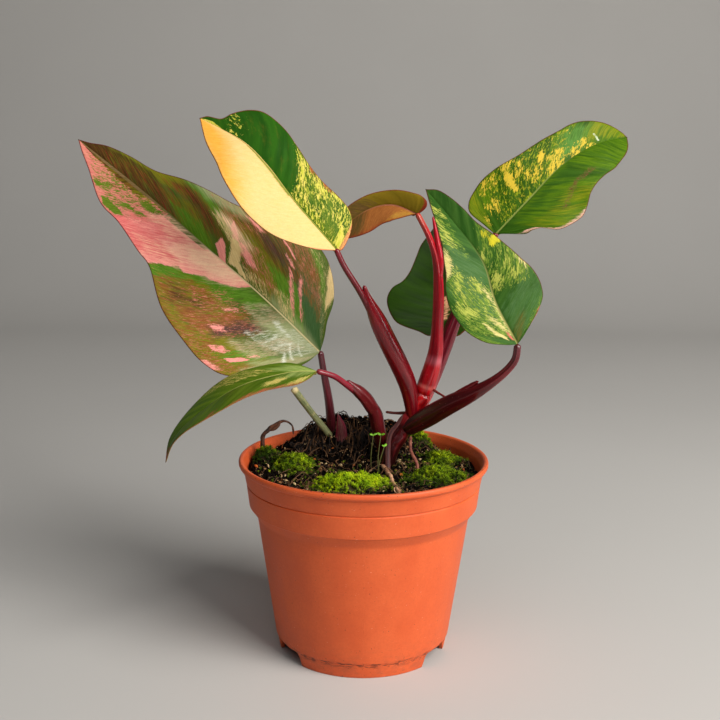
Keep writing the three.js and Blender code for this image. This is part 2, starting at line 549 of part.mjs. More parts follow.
function joined(limbs, grow = 0) {
  return limbs.map((one) => limb(one.points, one.radii, { grow })).reduce((whole, one) => whole.add(one));
}

add('pot', makePot(), 'terracotta');

// What stands in the mix takes a hole of its own grown shape out of it, and is itself cut clear of all that
// was made before it.
let soil = makeGround();
const raisedGround = soil.translate([0, 0, GAP]);
const grown = [];
const cutClear = (solid) => grown.reduce((left, other) => left.subtract(other), solid);

// The pieces of the main shoot are cut clear of one another in the order in which they sheathe the stem.
for (const piece of [stem, ...petioles, ...standing]) {
  add(piece.name, cutClear(joined(piece.limbs)), piece.colour);
  const larger = joined(piece.limbs, GAP);
  grown.push(larger);
  soil = soil.subtract(larger);
}

for (const root of roots) {
  add(root.name, cutClear(limb(root.points, root.radii, { sides: 6, rings: 6 })), 'driedPlant');
  const larger = limb(root.points, root.radii, { sides: 6, rings: 6, grow: GAP });
  grown.push(larger);
  soil = soil.subtract(larger);
}

for (const one of seedlings) {
  add(one.name, seedling(one), 'seedling');
  soil = soil.subtract(seedling(one, GAP));
}

const rootRise = Math.max(...lyingRoot.radii) + GAP;
const rootLine = lyingRoot.points.map(([x, y]) => [x, y, soilTop(x, y) + rootRise]);
const longRoot = limb(rootLine, lyingRoot.radii, { sides: 6, rings: 10 }).subtract(raisedGround);
add('aerial_root_long', cutClear(longRoot), 'driedPlant');
const longRootGrown = limb(rootLine, lyingRoot.radii, { sides: 6, rings: 10, grow: GAP });

for (const scale of scales) {
  const [x, y, z] = scale.spine[0];
  const [mouthRadius, mouthHeight] = [scale.wide + SCALE_CLEARANCE, 30];
  const mouth = new THREE.CylinderGeometry(mouthRadius, mouthRadius, mouthHeight, 12).rotateX(Math.PI / 2);
  soil = soil.subtract(toSolid(mouth.translate(x, y, z - GAP + mouthHeight / 2)));
  add(scale.name, cutClear(blade(scale)), scale.colour);
}

for (const patch of cushions) {
  add(patch.name, cutClear(cushion(patch).subtract(raisedGround).subtract(longRootGrown)), 'moss');
}

for (const leaf of leaves) add(leaf.name, blade(leaf), leaf.colour);

add('soil', soil, 'soil');

export default plant;
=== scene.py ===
"""Looks of a potted strawberry shake philodendron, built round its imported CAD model.

The frame is in metres, +Z up, with the camera in front on -Y. Sizes in this file are in millimetres
and become metres where a mesh is made.
"""

import math

import bpy
import numpy as np
from mathutils import Matrix


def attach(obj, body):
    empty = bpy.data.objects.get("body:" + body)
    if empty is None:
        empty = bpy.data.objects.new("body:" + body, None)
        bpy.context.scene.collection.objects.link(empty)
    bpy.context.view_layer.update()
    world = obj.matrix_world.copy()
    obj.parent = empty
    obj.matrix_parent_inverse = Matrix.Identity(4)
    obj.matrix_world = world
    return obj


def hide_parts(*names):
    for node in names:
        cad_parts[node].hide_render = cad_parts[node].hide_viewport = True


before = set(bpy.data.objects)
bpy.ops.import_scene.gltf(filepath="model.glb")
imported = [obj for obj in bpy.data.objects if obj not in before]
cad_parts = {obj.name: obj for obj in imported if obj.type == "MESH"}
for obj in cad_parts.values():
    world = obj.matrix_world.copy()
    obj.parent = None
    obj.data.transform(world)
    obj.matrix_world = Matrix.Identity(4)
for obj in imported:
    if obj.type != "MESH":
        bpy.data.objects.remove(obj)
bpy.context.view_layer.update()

# ---- Pot -----------------------------------------------------------------------------------------
# The nursery pot is one thin wall of matte terracotta-coloured plastic, moulded in one shot. It has a
# turned-out lip, a deep collar, a stepped foot with three notches, and a floor raised round its middle
# disc, with three drain holes. Soil dust and fine scuffs lie on it.
MM = 0.001
CORNER_POINTS, SHORTEST_EDGE = 6, 0.01


def mesh_object(name, points, faces):
    """Makes one object from points in mm and faces, and puts it into the scene."""
    mesh = bpy.data.meshes.new(name)
    mesh.from_pydata((points * MM).tolist(), [], faces)
    thing = bpy.data.objects.new(name, mesh)
    bpy.context.scene.collection.objects.link(thing)
    return thing


def make_piece(name, points, faces, slot, *nodes):
    """Makes one smooth piece of the part. It rides on the pot and replaces CAD nodes."""
    piece = mesh_object(name, points, faces)
    piece.data.shade_smooth()
    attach(piece, "root")
    if nodes:
        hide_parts(*nodes)
    return piece


def keep(piece, name, values):
    """Stores one number, or one vector, for each point of a piece, for its material to read."""
    vector = values.ndim == 2
    layer = piece.data.attributes.new(name, "FLOAT_VECTOR" if vector else "FLOAT", "POINT")
    layer.data.foreach_set("vector" if vector else "value", values.astype(np.float32).ravel())


def skin_faces(rings, columns):
    """Faces of a closed skin: rings of points joined by quads, then a fan to a first and a last pole.

    Point (ring, column) has the number ring x columns + column, and the two poles come after them.
    """
    ring, column = np.meshgrid(np.arange(rings - 1), np.arange(columns), indexing="ij")
    beside = (column + 1) % columns
    quads = [ring * columns + column, ring * columns + beside,
             (ring + 1) * columns + beside, (ring + 1) * columns + column]
    quads = np.stack(quads, -1).reshape(-1, 4)
    k = np.arange(columns)
    beside = (k + 1) % columns
    first, last = np.full(columns, rings * columns), np.full(columns, rings * columns + 1)
    end = (rings - 1) * columns
    fans = np.concatenate([np.stack([first, beside, k], -1), np.stack([last, end + k, end + beside], -1)])
    return quads, fans


def closed_skin(rings, start, end):
    """Points and faces of a closed skin through rings of points, shaped (ring, column, 3)."""
    quads, fans = skin_faces(*rings.shape[:2])
    return np.concatenate([rings.reshape(-1, 3), [start], [end]]), quads.tolist() + fans.tolist()


def rounded_profile(corners, step):
    """Points along a profile of (radius, height, fillet) corners.

    Each corner becomes a short curve that starts and ends one fillet away from it, by the quadratic
    blend of those two points and the corner, and long straight runs are cut into equal steps.
    """
    place, fillet = corners[:, :2], corners[:, 2:]
    inner = place[1:-1]
    before, after = place[:-2] - inner, place[2:] - inner
    before /= np.linalg.norm(before, axis=1, keepdims=True)
    after /= np.linalg.norm(after, axis=1, keepdims=True)
    u = np.linspace(0, 1, CORNER_POINTS)[:, None, None]
    start, finish = inner + before * fillet[1:-1], inner + after * fillet[1:-1]
    curve = (1 - u) ** 2 * start + 2 * u * (1 - u) * inner + u ** 2 * finish
    line = np.concatenate([place[:1], curve.transpose(1, 0, 2).reshape(-1, 2), place[-1:]])
    lengths = np.linalg.norm(np.diff(line, axis=0), axis=1)
    line = line[np.concatenate([[True], lengths > SHORTEST_EDGE])]
    lengths = lengths[lengths > SHORTEST_EDGE]
    run = np.concatenate([[0], np.cumsum(lengths)])
    cuts = np.ceil(lengths / step).astype(int)
    which = np.repeat(np.arange(len(cuts)), cuts)
    share = (np.arange(len(which)) - np.repeat(np.cumsum(cuts) - cuts, cuts)) / cuts[which]
    at = np.append(run[which] + share * lengths[which], run[-1])
    return np.stack([np.interp(at, run, line[:, 0]), np.interp(at, run, line[:, 1])], -1)


FLOOR_HEIGHT, DISC_TOP = 6.6, 1.6
POT_PROFILE = np.array([
    [0.5, 0, 0], [20, 0, 0.5], [23, FLOOR_HEIGHT, 0.6], [39.1, FLOOR_HEIGHT, 0.3], [38.9, 0, 0.3],
    [40.7, 0, 0.4],
    [42.2, 7.4, 0.2], [42.6, 7.7, 0.2], [51.3, 67.6, 1.2], [54.3, 72.2, 0.4],
    [55.1, 72.9, 0.2], [56.35, 83.1, 0.2], [55.85, 83.5, 0.15], [56.5, 84.1, 0.2], [57.9, 91.2, 0.3],
    [59.4, 92, 0.3], [60, 92.9, 0.5], [59.95, 94.5, 0.7], [58.9, 95, 0.5], [57.8, 94.5, 0.6],
    [56.3, 91, 0.6], [55.4, 86, 1], [53.2, 73, 0.8], [52.3, 70.9, 0.6], [50.6, 68.3, 0.6],
    [49, 64.4, 1], [41.1, 9.2, 0.5], [39.9, 8.2, 0.4], [23.4, 8.2, 0.5], [20.6, DISC_TOP, 0.4],
    [0.5, DISC_TOP, 0],
])
POT_STEP, POT_COLUMNS = 3, 360
NOTCHES = np.radians([-30, 90, 210])
NOTCH_TOP, NOTCH_HALF_WIDTH, NOTCH_SLANT = 6.3, 11, 2
SKIRT_INSIDE, SKIRT_OUTSIDE = 38, 43
DRAIN_RING, DRAIN_RADIUS, DRAIN_BOTTOM, DRAIN_TOP = 31, 4, 4, 11
BORE_STEP, BORE_COLUMNS, NEAR_AXIS = 9, 40, 0.1
WALL_RADIUS = 55


def revolve(profile, columns):
    """Rings of points round the upright axis, one ring for each (radius, height) of a profile."""
    angle = np.linspace(0, 2 * np.pi, columns, endpoint=False)
    round_about = np.stack([np.cos(angle), np.sin(angle)], -1)
    across = profile[:, None, :1] * round_about
    height = np.broadcast_to(profile[:, None, 1:], across[..., :1].shape)
    return np.concatenate([across, height], -1)


def raise_notches(rings):
    """Lifts the foot skirt over each notch, whose ends slant: the skirt's heights shrink above it."""
    angle = np.arctan2(rings[..., 1], rings[..., 0])
    radius = np.hypot(rings[..., 0], rings[..., 1])
    turn = np.angle(np.exp(1j * (angle[..., None] - NOTCHES)))
    off = radius * np.abs(turn).min(-1)
    lift = NOTCH_TOP * np.clip((NOTCH_HALF_WIDTH - off) / NOTCH_SLANT, 0, 1)
    height = rings[..., 2]
    on_skirt = (radius > SKIRT_INSIDE) & (radius < SKIRT_OUTSIDE) & (height < FLOOR_HEIGHT)
    rings[..., 2] = np.where(on_skirt, lift + height * (FLOOR_HEIGHT - lift) / FLOOR_HEIGHT, height)
    return rings


def drill(piece, centres, radius, low, high):
    """Bores round holes through a piece between two heights."""
    for x, y in centres:
        outline = np.array([[NEAR_AXIS, low, 0], [radius, low, 0], [radius, high, 0], [NEAR_AXIS, high, 0]])
        rings = revolve(rounded_profile(outline, BORE_STEP), BORE_COLUMNS) + np.array([x, y, 0])
        cutter = mesh_object("bore", *closed_skin(rings, [x, y, low], [x, y, high]))
        cut = piece.modifiers.new("bore", "BOOLEAN")
        cut.object, cut.operation, cut.solver = cutter, "DIFFERENCE", "MANIFOLD"
        bpy.context.view_layer.update()
        finished = piece.evaluated_get(bpy.context.evaluated_depsgraph_get())
        drilled = bpy.data.meshes.new_from_object(finished)
        piece.modifiers.clear()
        piece.data = drilled
        bore = cutter.data
        bpy.data.objects.remove(cutter)
        bpy.data.meshes.remove(bore)


def shade(red, green, blue):
    """Turns a colour of 0 to 255 as seen on a screen into the linear colour that shaders take."""
    seen = np.array([red, green, blue]) / 255
    linear = np.where(seen <= 0.04045, seen / 12.92, ((seen + 0.055) / 1.055) ** 2.4)
    return (*linear.tolist(), 1.0)


class Look:
    """A material in the making. Each call adds one node and hands back what it puts out."""

    def __init__(self, name, **finish):
        self.material = bpy.data.materials.new(name)
        self.material.use_nodes = True
        self.tree = self.material.node_tree
        self.shader = self.tree.nodes["Principled BSDF"]
        for key, value in finish.items():
            self.feed(self.shader.inputs[key.replace("_", " ")], value)

    def feed(self, socket, value):
        """Joins another node's output to a socket, or sets the socket to a plain value."""
        if isinstance(value, bpy.types.NodeSocket):
            self.tree.links.new(value, socket)
        else:
            socket.default_value = value

    def add(self, kind, inputs, output=0, **settings):
        """Adds a node of one kind, sets it, feeds its inputs and hands back one of its outputs."""
        node = self.tree.nodes.new("ShaderNode" + kind)
        for key, value in settings.items():
            setattr(node, key, value)
        for key, value in inputs.items():
            self.feed(node.inputs[key], value)
        return node.outputs[output]

    def here(self, x, y, z):
        """The place on the object, counted in steps of x, y and z mm."""
        place = self.add("TexCoord", {}, output=3)
        return self.add("VectorMath", {0: place, 1: (1 / (x * MM), 1 / (y * MM), 1 / (z * MM))},
                        operation="MULTIPLY")

    def stored(self, name, x=1.0, y=1.0):
        """A vector kept on the points, its first two parts counted in steps of x and y."""
        kept = self.add("Attribute", {}, output=1, attribute_name=name)
        return self.add("VectorMath", {0: kept, 1: (1 / x, 1 / y, 1.0)}, operation="MULTIPLY")

    def number(self, name):
        """A number kept on the points."""
        return self.add("Attribute", {}, output=2, attribute_name=name)

    def moved(self, place, shift):
        """A place moved on by a shift."""
        return self.add("VectorMath", {0: place, 1: shift}, operation="ADD")

    def grain(self, place, detail=2.0, rough=0.5, twist=0.0):
        """Cloudy noise of 0 to 1, one lump to a step of place."""
        return self.add("TexNoise", {"Vector": place, "Scale": 1.0, "Detail": detail, "Roughness": rough,
                                     "Distortion": twist})

    def maths(self, operation, a, b=0.0):
        """One sum of two numbers, such as ADD or MULTIPLY."""
        return self.add("Math", {0: a, 1: b}, operation=operation)

    def between(self, value, low, high, least=0.0, most=1.0):
        """Runs smoothly from least to most as value goes from low to high."""
        return self.add("MapRange", {0: value, 1: low, 2: high, 3: least, 4: most},
                        interpolation_type="SMOOTHSTEP")

    def mix(self, share, one, other):
        """Goes from one colour to the other by a share of 0 to 1. A plain colour is a screen colour."""
        one, other = (shade(*c) if isinstance(c, tuple) else c for c in (one, other))
        return self.add("Mix", {0: share, 6: one, 7: other}, output=2, data_type="RGBA")

    def lay(self, colour, tone, source, low, high, most=1.0):
        """Lays a tone over a colour, growing to a share of most as source goes from low to high."""
        return self.mix(self.between(source, low, high, 0.0, most), colour, tone)

    def relief(self, height, depth, strength=1.0, under=None):
        """Bumps that stand depth mm high where height is 1."""
        inputs = {"Height": height, "Distance": depth * MM, "Strength": strength}
        if under is not None:
            inputs["Normal"] = under
        return self.add("Bump", inputs)

    def wear(self, colour, rough, normal=None):
        """Joins colour, roughness and relief to the shader and hands the material back."""
        self.feed(self.shader.inputs["Base Color"], colour)
        self.feed(self.shader.inputs["Roughness"], rough)
        if normal is not None:
            self.feed(self.shader.inputs["Normal"], normal)
        return self.material


def terracotta_plastic():
    """Mottled orange-brown, dusty at the foot and under the lip, with scuffs that run round the wall."""
    look = Look("terracotta_plastic", Specular_IOR_Level=0.35)
    clouds = look.grain(look.here(16, 16, 22), detail=4, rough=0.6)
    colour = look.mix(look.between(clouds, 0.3, 0.7), (208, 88, 42), (218, 98, 50))
    fine = look.grain(look.here(1.1, 1.1, 1.1), detail=3, rough=0.7)
    colour = look.lay(colour, (194, 76, 38), fine, 0.35, 0.75, 0.35)
    wrapped = look.stored("wrapped", 30, 0.9)
    scuff = look.grain(wrapped, detail=3, rough=0.65, twist=0.4)
    colour = look.lay(colour, (226, 118, 74), scuff, 0.62, 0.78, 0.3)
    height = look.add("SeparateXYZ", {0: look.stored("wrapped")}, output=1)
    foot = look.between(height, 22, 0)
    dust = look.grain(look.here(5, 5, 3), detail=5, rough=0.7)
    dusty = look.maths("MULTIPLY", foot, look.between(dust, 0.42, 0.68))
    colour = look.mix(look.maths("MULTIPLY", dusty, 0.4), colour, (150, 78, 52))
    specks = look.grain(look.here(0.9, 0.9, 0.9), detail=1, rough=0.5)
    near_lip = look.maths("ADD", look.between(height, 88, 95, 0, 0.05),
                          look.between(height, 12, 6, 0, 0.035))
    dirt = look.between(look.maths("ADD", specks, near_lip), 0.76, 0.79)
    colour = look.mix(look.maths("MULTIPLY", dirt, 0.8), colour, (74, 36, 24))
    motes = look.grain(look.here(0.7, 0.7, 0.7), detail=1, rough=0.5, twist=0.3)
    colour = look.lay(colour, (236, 176, 144), motes, 0.76, 0.79, 0.6)
    # Dark dashes along the seam just above the foot.
    dash = look.grain(look.stored("wrapped", 5, 0.7), detail=2, rough=0.6)
    seam = look.maths("MULTIPLY", look.between(height, 4.6, 6.4), look.between(height, 8.6, 7.6))
    seam_dashes = look.maths("MULTIPLY", seam, look.between(dash, 0.5, 0.56))
    colour = look.mix(look.maths("MULTIPLY", seam_dashes, 0.75), colour, (84, 40, 26))
    rough = look.between(clouds, 0.3, 0.7, 0.46, 0.58)
    waves = look.grain(look.stored("wrapped", 14, 5), detail=2)
    normal = look.relief(fine, 0.05, 0.6, look.relief(scuff, 0.06, 0.5, look.relief(waves, 0.3, 0.5)))
    return look.wear(colour, rough, normal)


pot_rings = raise_notches(revolve(rounded_profile(POT_PROFILE, POT_STEP), POT_COLUMNS))
points, faces = closed_skin(pot_rings, [0, 0, 0], [0, 0, DISC_TOP])
pot = make_piece("pot_wall", points, faces, "terracotta_plastic", "pot")
drain_middles = DRAIN_RING * np.stack([np.cos(NOTCHES), np.sin(NOTCHES)], -1)
drill(pot, drain_middles, DRAIN_RADIUS, DRAIN_BOTTOM, DRAIN_TOP)
pot_points = np.empty(3 * len(pot.data.vertices))
pot.data.vertices.foreach_get("co", pot_points)
pot_points = pot_points.reshape(-1, 3) / MM
round_wall = WALL_RADIUS * np.abs(np.arctan2(pot_points[:, 0], -pot_points[:, 1]))
keep(pot, "wrapped", np.stack([round_wall, pot_points[:, 2], np.sign(pot_points[:, 0])], -1))
pot.data.materials.clear()
pot.data.materials.append(terracotta_plastic())

# ---- Potting mix ---------------------------------------------------------------------------------
# The mix is dark peat and bark, crumbly on top, heaped into a mound of old roots at the back and dry at
# the left. Crumbs, flakes and fine dead fibres lie on it. It is poured in and fills the pot.
SOIL_FOOT, SOIL_LEVEL, SOIL_EDGE = 8.6, 88, 55.2
SOIL_WALL = np.array([[0.5, SOIL_FOOT], [38, SOIL_FOOT], [40.6, 9.6], [48.3, 64.3], [50, 68.4], [51.9, 71],
                      [52.9, 73.2], [54.6, 83.5]])
SOIL_STEP, SOIL_RINGS, SOIL_COLUMNS = 6, 100, 420
LATTICE = 64


def mound_distance(x, y, across, deep):
    """How far out of the root mound a place is: 0 in its middle, 1 on its rim, and flat across its top."""
    return np.abs((x + 5) / across) ** 4 + ((y - 36) / deep) ** 2


def bell(x, y, middle, across, deep):
    """A rise of 0 to 1 round a middle: e to the minus of both offs over their widths, squared and added."""
    return np.exp(-((x - middle[0]) / across) ** 2 - ((y - middle[1]) / deep) ** 2)


def soil_top(x, y):
    """Height of the mix in mm: its level, a flat-topped mound, two bell-shaped rises and low ripples."""
    mound = 16 * np.exp(-mound_distance(x, y, 31, 17))
    heap, bank = 3 * bell(x, y, (10, 4), 14, 14), 3 * bell(x, y, (-50, 8), 14, 22)
    ripple = 0.6 * np.sin(0.31 * x + 1) * np.cos(0.27 * y) + 0.4 * np.sin(0.45 * y - 0.2 * x)
    return SOIL_LEVEL + mound + heap + bank + ripple


def lumps(x, y, size, seed):
    """Lumps of one size: seeded heights of -1 to 1 on a square lattice, joined by smooth steps."""
    lattice = np.random.default_rng(seed).uniform(-1, 1, (LATTICE, LATTICE))
    u, v = x / size + seed * 3.7, y / size + seed * 1.3
    i, j = np.floor(u).astype(int), np.floor(v).astype(int)
    a, b = u - i, v - j
    a, b = a * a * (3 - 2 * a), b * b * (3 - 2 * b)
    near, far = (lattice[k % LATTICE, j % LATTICE] * (1 - b) + lattice[k % LATTICE, (j + 1) % LATTICE] * b
                 for k in (i, i + 1))
    return near * (1 - a) + far * a


def crumbly_top(x, y):
    """The mix's height with lumps of four sizes on it. The mound is the roughest."""
    mound = np.exp(-mound_distance(x, y, 33, 19))
    crumb = (1.1 + 1.2 * mound) * lumps(x, y, 6, 1) + (0.8 + 0.8 * mound) * lumps(x, y, 3, 2)
    crumb += 0.55 * lumps(x, y, 1.5, 3) + 0.3 * lumps(x, y, 0.9, 4)
    fade = np.clip((SOIL_EDGE + 0.5 - np.hypot(x, y)) / 4, 0, 1)
    return soil_top(x, y) + crumb * (0.4 + 0.6 * fade) - 1.2 * (1 - fade)


def dark_mix():
    """Near-black peat with brown bark and a few grey-brown dry spots, quite matt."""
    look = Look("potting_mix", Specular_IOR_Level=0.04)
    coarse = look.grain(look.here(4, 4, 4), detail=5, rough=0.7)
    fine = look.grain(look.here(1.2, 1.2, 1.2), detail=3, rough=0.7)
    colour = look.mix(look.between(coarse, 0.35, 0.7), (5, 3, 2), (14, 9, 6))
    colour = look.lay(colour, (58, 38, 24), fine, 0.58, 0.74, 0.7)
    colour = look.lay(colour, (120, 84, 52), look.number("tone"), 0.55, 0.8)
    colour = look.lay(colour, (186, 160, 118), look.number("tone"), 0.8, 0.95)
    colour = look.lay(colour, (176, 92, 40), look.number("tone"), 1.2, 1.4)
    return look.wear(colour, look.between(fine, 0.3, 0.7, 0.7, 0.95), look.relief(fine, 0.3, 0.7))


def scatter(shape, faces, places, along, sizes, rng):
    """Copies a small shape to many places. Each copy's Z axis points along a direction, turned at random.

    Every point is place + size x (turn x point), all copies at once. The faces are numbered on in step.
    """
    along = along / np.linalg.norm(along, axis=1, keepdims=True)
    side = np.cross(along, rng.normal(size=along.shape))
    side /= np.linalg.norm(side, axis=1, keepdims=True)
    turn = np.stack([side, np.cross(along, side), along], -1)
    points = places[:, None] + np.einsum("nij,npj->npi", turn, sizes[:, None, None] * shape)
    return points.reshape(-1, 3), number_on(faces, shape.shape[-2], len(places))


def number_on(faces, points_each, copies):
    """Faces of one shape repeated for its copies, each copy's points numbered after the last."""
    step = (np.arange(copies) * points_each)[:, None, None]
    return (faces[None] + step).reshape(-1, faces.shape[1]).tolist()


GOLDEN = (1 + 5 ** 0.5) / 2
CRUMB_POINTS = np.array([[-1, GOLDEN, 0], [1, GOLDEN, 0], [-1, -GOLDEN, 0], [1, -GOLDEN, 0],
                         [0, -1, GOLDEN], [0, 1, GOLDEN], [0, -1, -GOLDEN], [0, 1, -GOLDEN],
                         [GOLDEN, 0, -1], [GOLDEN, 0, 1], [-GOLDEN, 0, -1], [-GOLDEN, 0, 1]]) / 1.9
CRUMB_FACES = np.array([[0, 11, 5], [0, 5, 1], [0, 1, 7], [0, 7, 10], [0, 10, 11], [1, 5, 9], [5, 11, 4],
                        [11, 10, 2], [10, 7, 6], [7, 1, 8], [3, 9, 4], [3, 4, 2], [3, 2, 6], [3, 6, 8],
                        [3, 8, 9], [4, 9, 5], [2, 4, 11], [6, 2, 10], [8, 6, 7], [9, 8, 1]])


def anywhere_in_pot(count, rng, reach=54):
    """Random places spread evenly over the mix: the radius is reach times the root of a random share."""
    radius, angle = reach * rng.random(count) ** 0.5, rng.uniform(0, 2 * np.pi, count)
    return radius * np.cos(angle), radius * np.sin(angle)


wall = rounded_profile(np.column_stack([SOIL_WALL, np.zeros(len(SOIL_WALL))]), SOIL_STEP)
top_radii = np.linspace(SOIL_EDGE, 0.5, SOIL_RINGS)
top_profile = np.column_stack([top_radii, np.zeros(len(top_radii))])
soil_rings = revolve(np.concatenate([wall, top_profile]), SOIL_COLUMNS)
top = soil_rings[len(wall):]
top[..., 2] = crumbly_top(top[..., 0], top[..., 1])
soil_points, soil_faces = closed_skin(soil_rings, [0, 0, SOIL_FOOT], [0, 0, crumbly_top(0.0, 0.0)])
soil = make_piece("mix_surface", soil_points, soil_faces, "potting_mix", "soil")
mix_look = dark_mix()
soil.data.materials.append(mix_look)
keep(soil, "tone", np.zeros(len(soil_points)))

RUSTY_SHARE, RUSTY_TONE = 0.012, 1.5
rng = np.random.default_rng(11)
count = 6500
x, y = anywhere_in_pot(count, rng)
size = 0.35 + 0.9 * rng.random(count) ** 2.5
shapes = CRUMB_POINTS * rng.uniform(0.55, 1.25, (count, len(CRUMB_POINTS), 1))
shapes = shapes * rng.uniform(0.45, 1.3, (count, 1, 3))
place = np.stack([x, y, crumbly_top(x, y) + 0.2 * size], -1)
points, faces = scatter(shapes, CRUMB_FACES, place, rng.normal(size=(count, 3)), size, rng)
crumbs = make_piece("mix_crumbs", points, faces, "potting_mix")
dry = bell(x, y, (-38, -4), 10, 12)
tone = rng.random(count) ** 2.2 + 0.45 * dry * rng.random(count)
tone = np.where(rng.random(count) < RUSTY_SHARE, RUSTY_TONE, np.minimum(tone, 1))
keep(crumbs, "tone", np.repeat(tone, len(CRUMB_POINTS)))
crumbs.data.materials.append(mix_look)


def tubes(lines, radii, sides, front=(0, -1, 0), lobe=None):
    """Round skins round many lines at once, lines shaped (line, step, 3) and radii (line, step).

    Point = line + radius x (cos a x side + sin a x depth), where side lies across the line and depth
    faces front. lobe(share, angle) adds mm to the radius. Every end closes on a pole.
    """
    count, steps, _ = lines.shape
    along = np.gradient(lines, axis=1)
    along /= np.linalg.norm(along, axis=2, keepdims=True)
    side = np.cross(np.asarray(front, float), along)
    side /= np.linalg.norm(side, axis=2, keepdims=True)
    depth = np.cross(along, side)
    angle = np.linspace(0, 2 * np.pi, sides, endpoint=False)
    reach = np.repeat(radii[..., None], sides, 2)
    if lobe is not None:
        reach = reach + lobe(np.linspace(0, 1, steps)[:, None], angle[None])
    ring = np.cos(angle)[:, None] * side[:, :, None] + np.sin(angle)[:, None] * depth[:, :, None]
    rings = lines[:, :, None] + reach[..., None] * ring
    ends = np.stack([lines[:, 0] - along[:, 0] * radii[:, :1] * 0.3,
                     lines[:, -1] + along[:, -1] * radii[:, -1:] * 0.3], 1)
    points = np.concatenate([rings.reshape(count, -1, 3), ends], 1)
    quads, fans = skin_faces(steps, sides)
    each = steps * sides + 2
    return points.reshape(-1, 3), number_on(quads, each, count) + number_on(fans, each, count)


def dead_fibres():
    """Dry root threads: tan to grey-brown, with darker stretches."""
    look = Look("dead_fibres", Specular_IOR_Level=0.3)
    run = look.grain(look.here(1.5, 1.5, 1.5), detail=3, rough=0.6)
    colour = look.mix(look.between(look.number("tone"), 0, 1), (20, 12, 8), (118, 82, 52))
    colour = look.lay(colour, (36, 24, 16), run, 0.5, 0.75, 0.7)
    return look.wear(colour, 0.75, look.relief(run, 0.1))


def pull_in(x, y, reach):
    """Draws places that lie further than reach from the pot's middle back to that distance."""
    pull = np.minimum(1, reach / np.hypot(x, y))
    return x * pull, y * pull


def lay_fibres(count, steps, rng):
    """Threads that wander over the mix: each turns evenly while it runs, and lifts off in the middle."""
    x, y = anywhere_in_pot(count, rng, 50)
    heading = rng.uniform(0, 2 * np.pi, count)[:, None]
    bend = rng.normal(0, 1.6, count)[:, None]
    length = rng.uniform(4, 15, count)[:, None]
    u = np.linspace(0, 1, steps)
    turn = heading + bend * u
    step = length / steps
    x = x[:, None] + np.cumsum(step * np.cos(turn), 1)
    y = y[:, None] + np.cumsum(step * np.sin(turn), 1)
    x, y = pull_in(x, y, 52)
    lift = rng.uniform(0.1, 2.2, count)[:, None] ** 1.3 * np.sin(np.pi * u)
    return np.stack([x, y, crumbly_top(x, y) + 0.15 + lift], -1)


def hang_fibres(count, steps, rng):
    """Old roots that stream down the mound's front, from its crown to its foot."""
    x = rng.uniform(-32, 16, count)[:, None]
    high = rng.uniform(26, 34, count)[:, None]
    low = high - rng.uniform(3, 18, count)[:, None]
    u = np.linspace(0, 1, steps)
    sway = rng.normal(0, 2.2, (count, 1)) * np.sin(np.pi * u) + rng.normal(0, 4, (count, 1)) * u
    y = high + (low - high) * u
    x = x + sway
    stand = rng.uniform(0.1, 1.4, (count, 1)) * np.sin(np.pi * np.clip(u * 1.1, 0, 1))
    return np.stack([x, y, crumbly_top(x, y) + 0.2 + stand], -1)


LAID, HUNG, FIBRE_STEPS, FIBRE_SIDES = 620, 150, 9, 4
rng = np.random.default_rng(23)
lines = np.concatenate([lay_fibres(LAID, FIBRE_STEPS, rng), hang_fibres(HUNG, FIBRE_STEPS, rng)])
thick = np.concatenate([rng.uniform(0.1, 0.26, LAID), rng.uniform(0.15, 0.5, HUNG)])
radii = thick[:, None] * (1 - 0.5 * np.linspace(-1, 1, FIBRE_STEPS) ** 2)
points, faces = tubes(lines, radii, front=(0.02, 0.03, 1), sides=FIBRE_SIDES)
fibres = make_piece("mix_fibres", points, faces, "dried_plant")
tone = np.concatenate([rng.random(LAID) ** 1.3, rng.random(HUNG) ** 4])
keep(fibres, "tone", np.repeat(tone, FIBRE_SIDES * FIBRE_STEPS + 2))
fibres.data.materials.append(dead_fibres())

# ---- Moss ----------------------------------------------------------------------------------------
# Living moss grows on the mix in six cushions, with single sprigs between them. Each shoot is a short
# stalk with narrow pointed leaves all round. A cushion is its middle x and y, its half widths across and
# deep, its height, and its painted light: how much brighter its shoots are painted as light or shade.
CUSHIONS = {
    "moss_front": (-6, -26, 17, 10, 4.6, 1.85), "moss_left": (-33, 1, 9, 9, 5, 1.0),
    "moss_left_rim": (-48, 12, 5, 8, 3, 0.6), "moss_right": (36, -14, 13, 11, 3.4, 0.85),
    "moss_right_side": (39, 14, 8, 10, 3, 0.85), "moss_back_right": (28, 37, 7, 6, 5, 0.95),
}
SHOOTS_PER_AREA, STRAY_SHARE, MOSS_REACH = 2.1, 0.14, 53
SHOOT_LEAVES, LEAF_TURN = 8, 2.4
DOME_RINGS, DOME_COLUMNS = 14, 44
FOOT_SINK, DOME_SINK, SHOOT_SINK, SPRIG_SINK = 2, 0.3, 0.5, 0.3


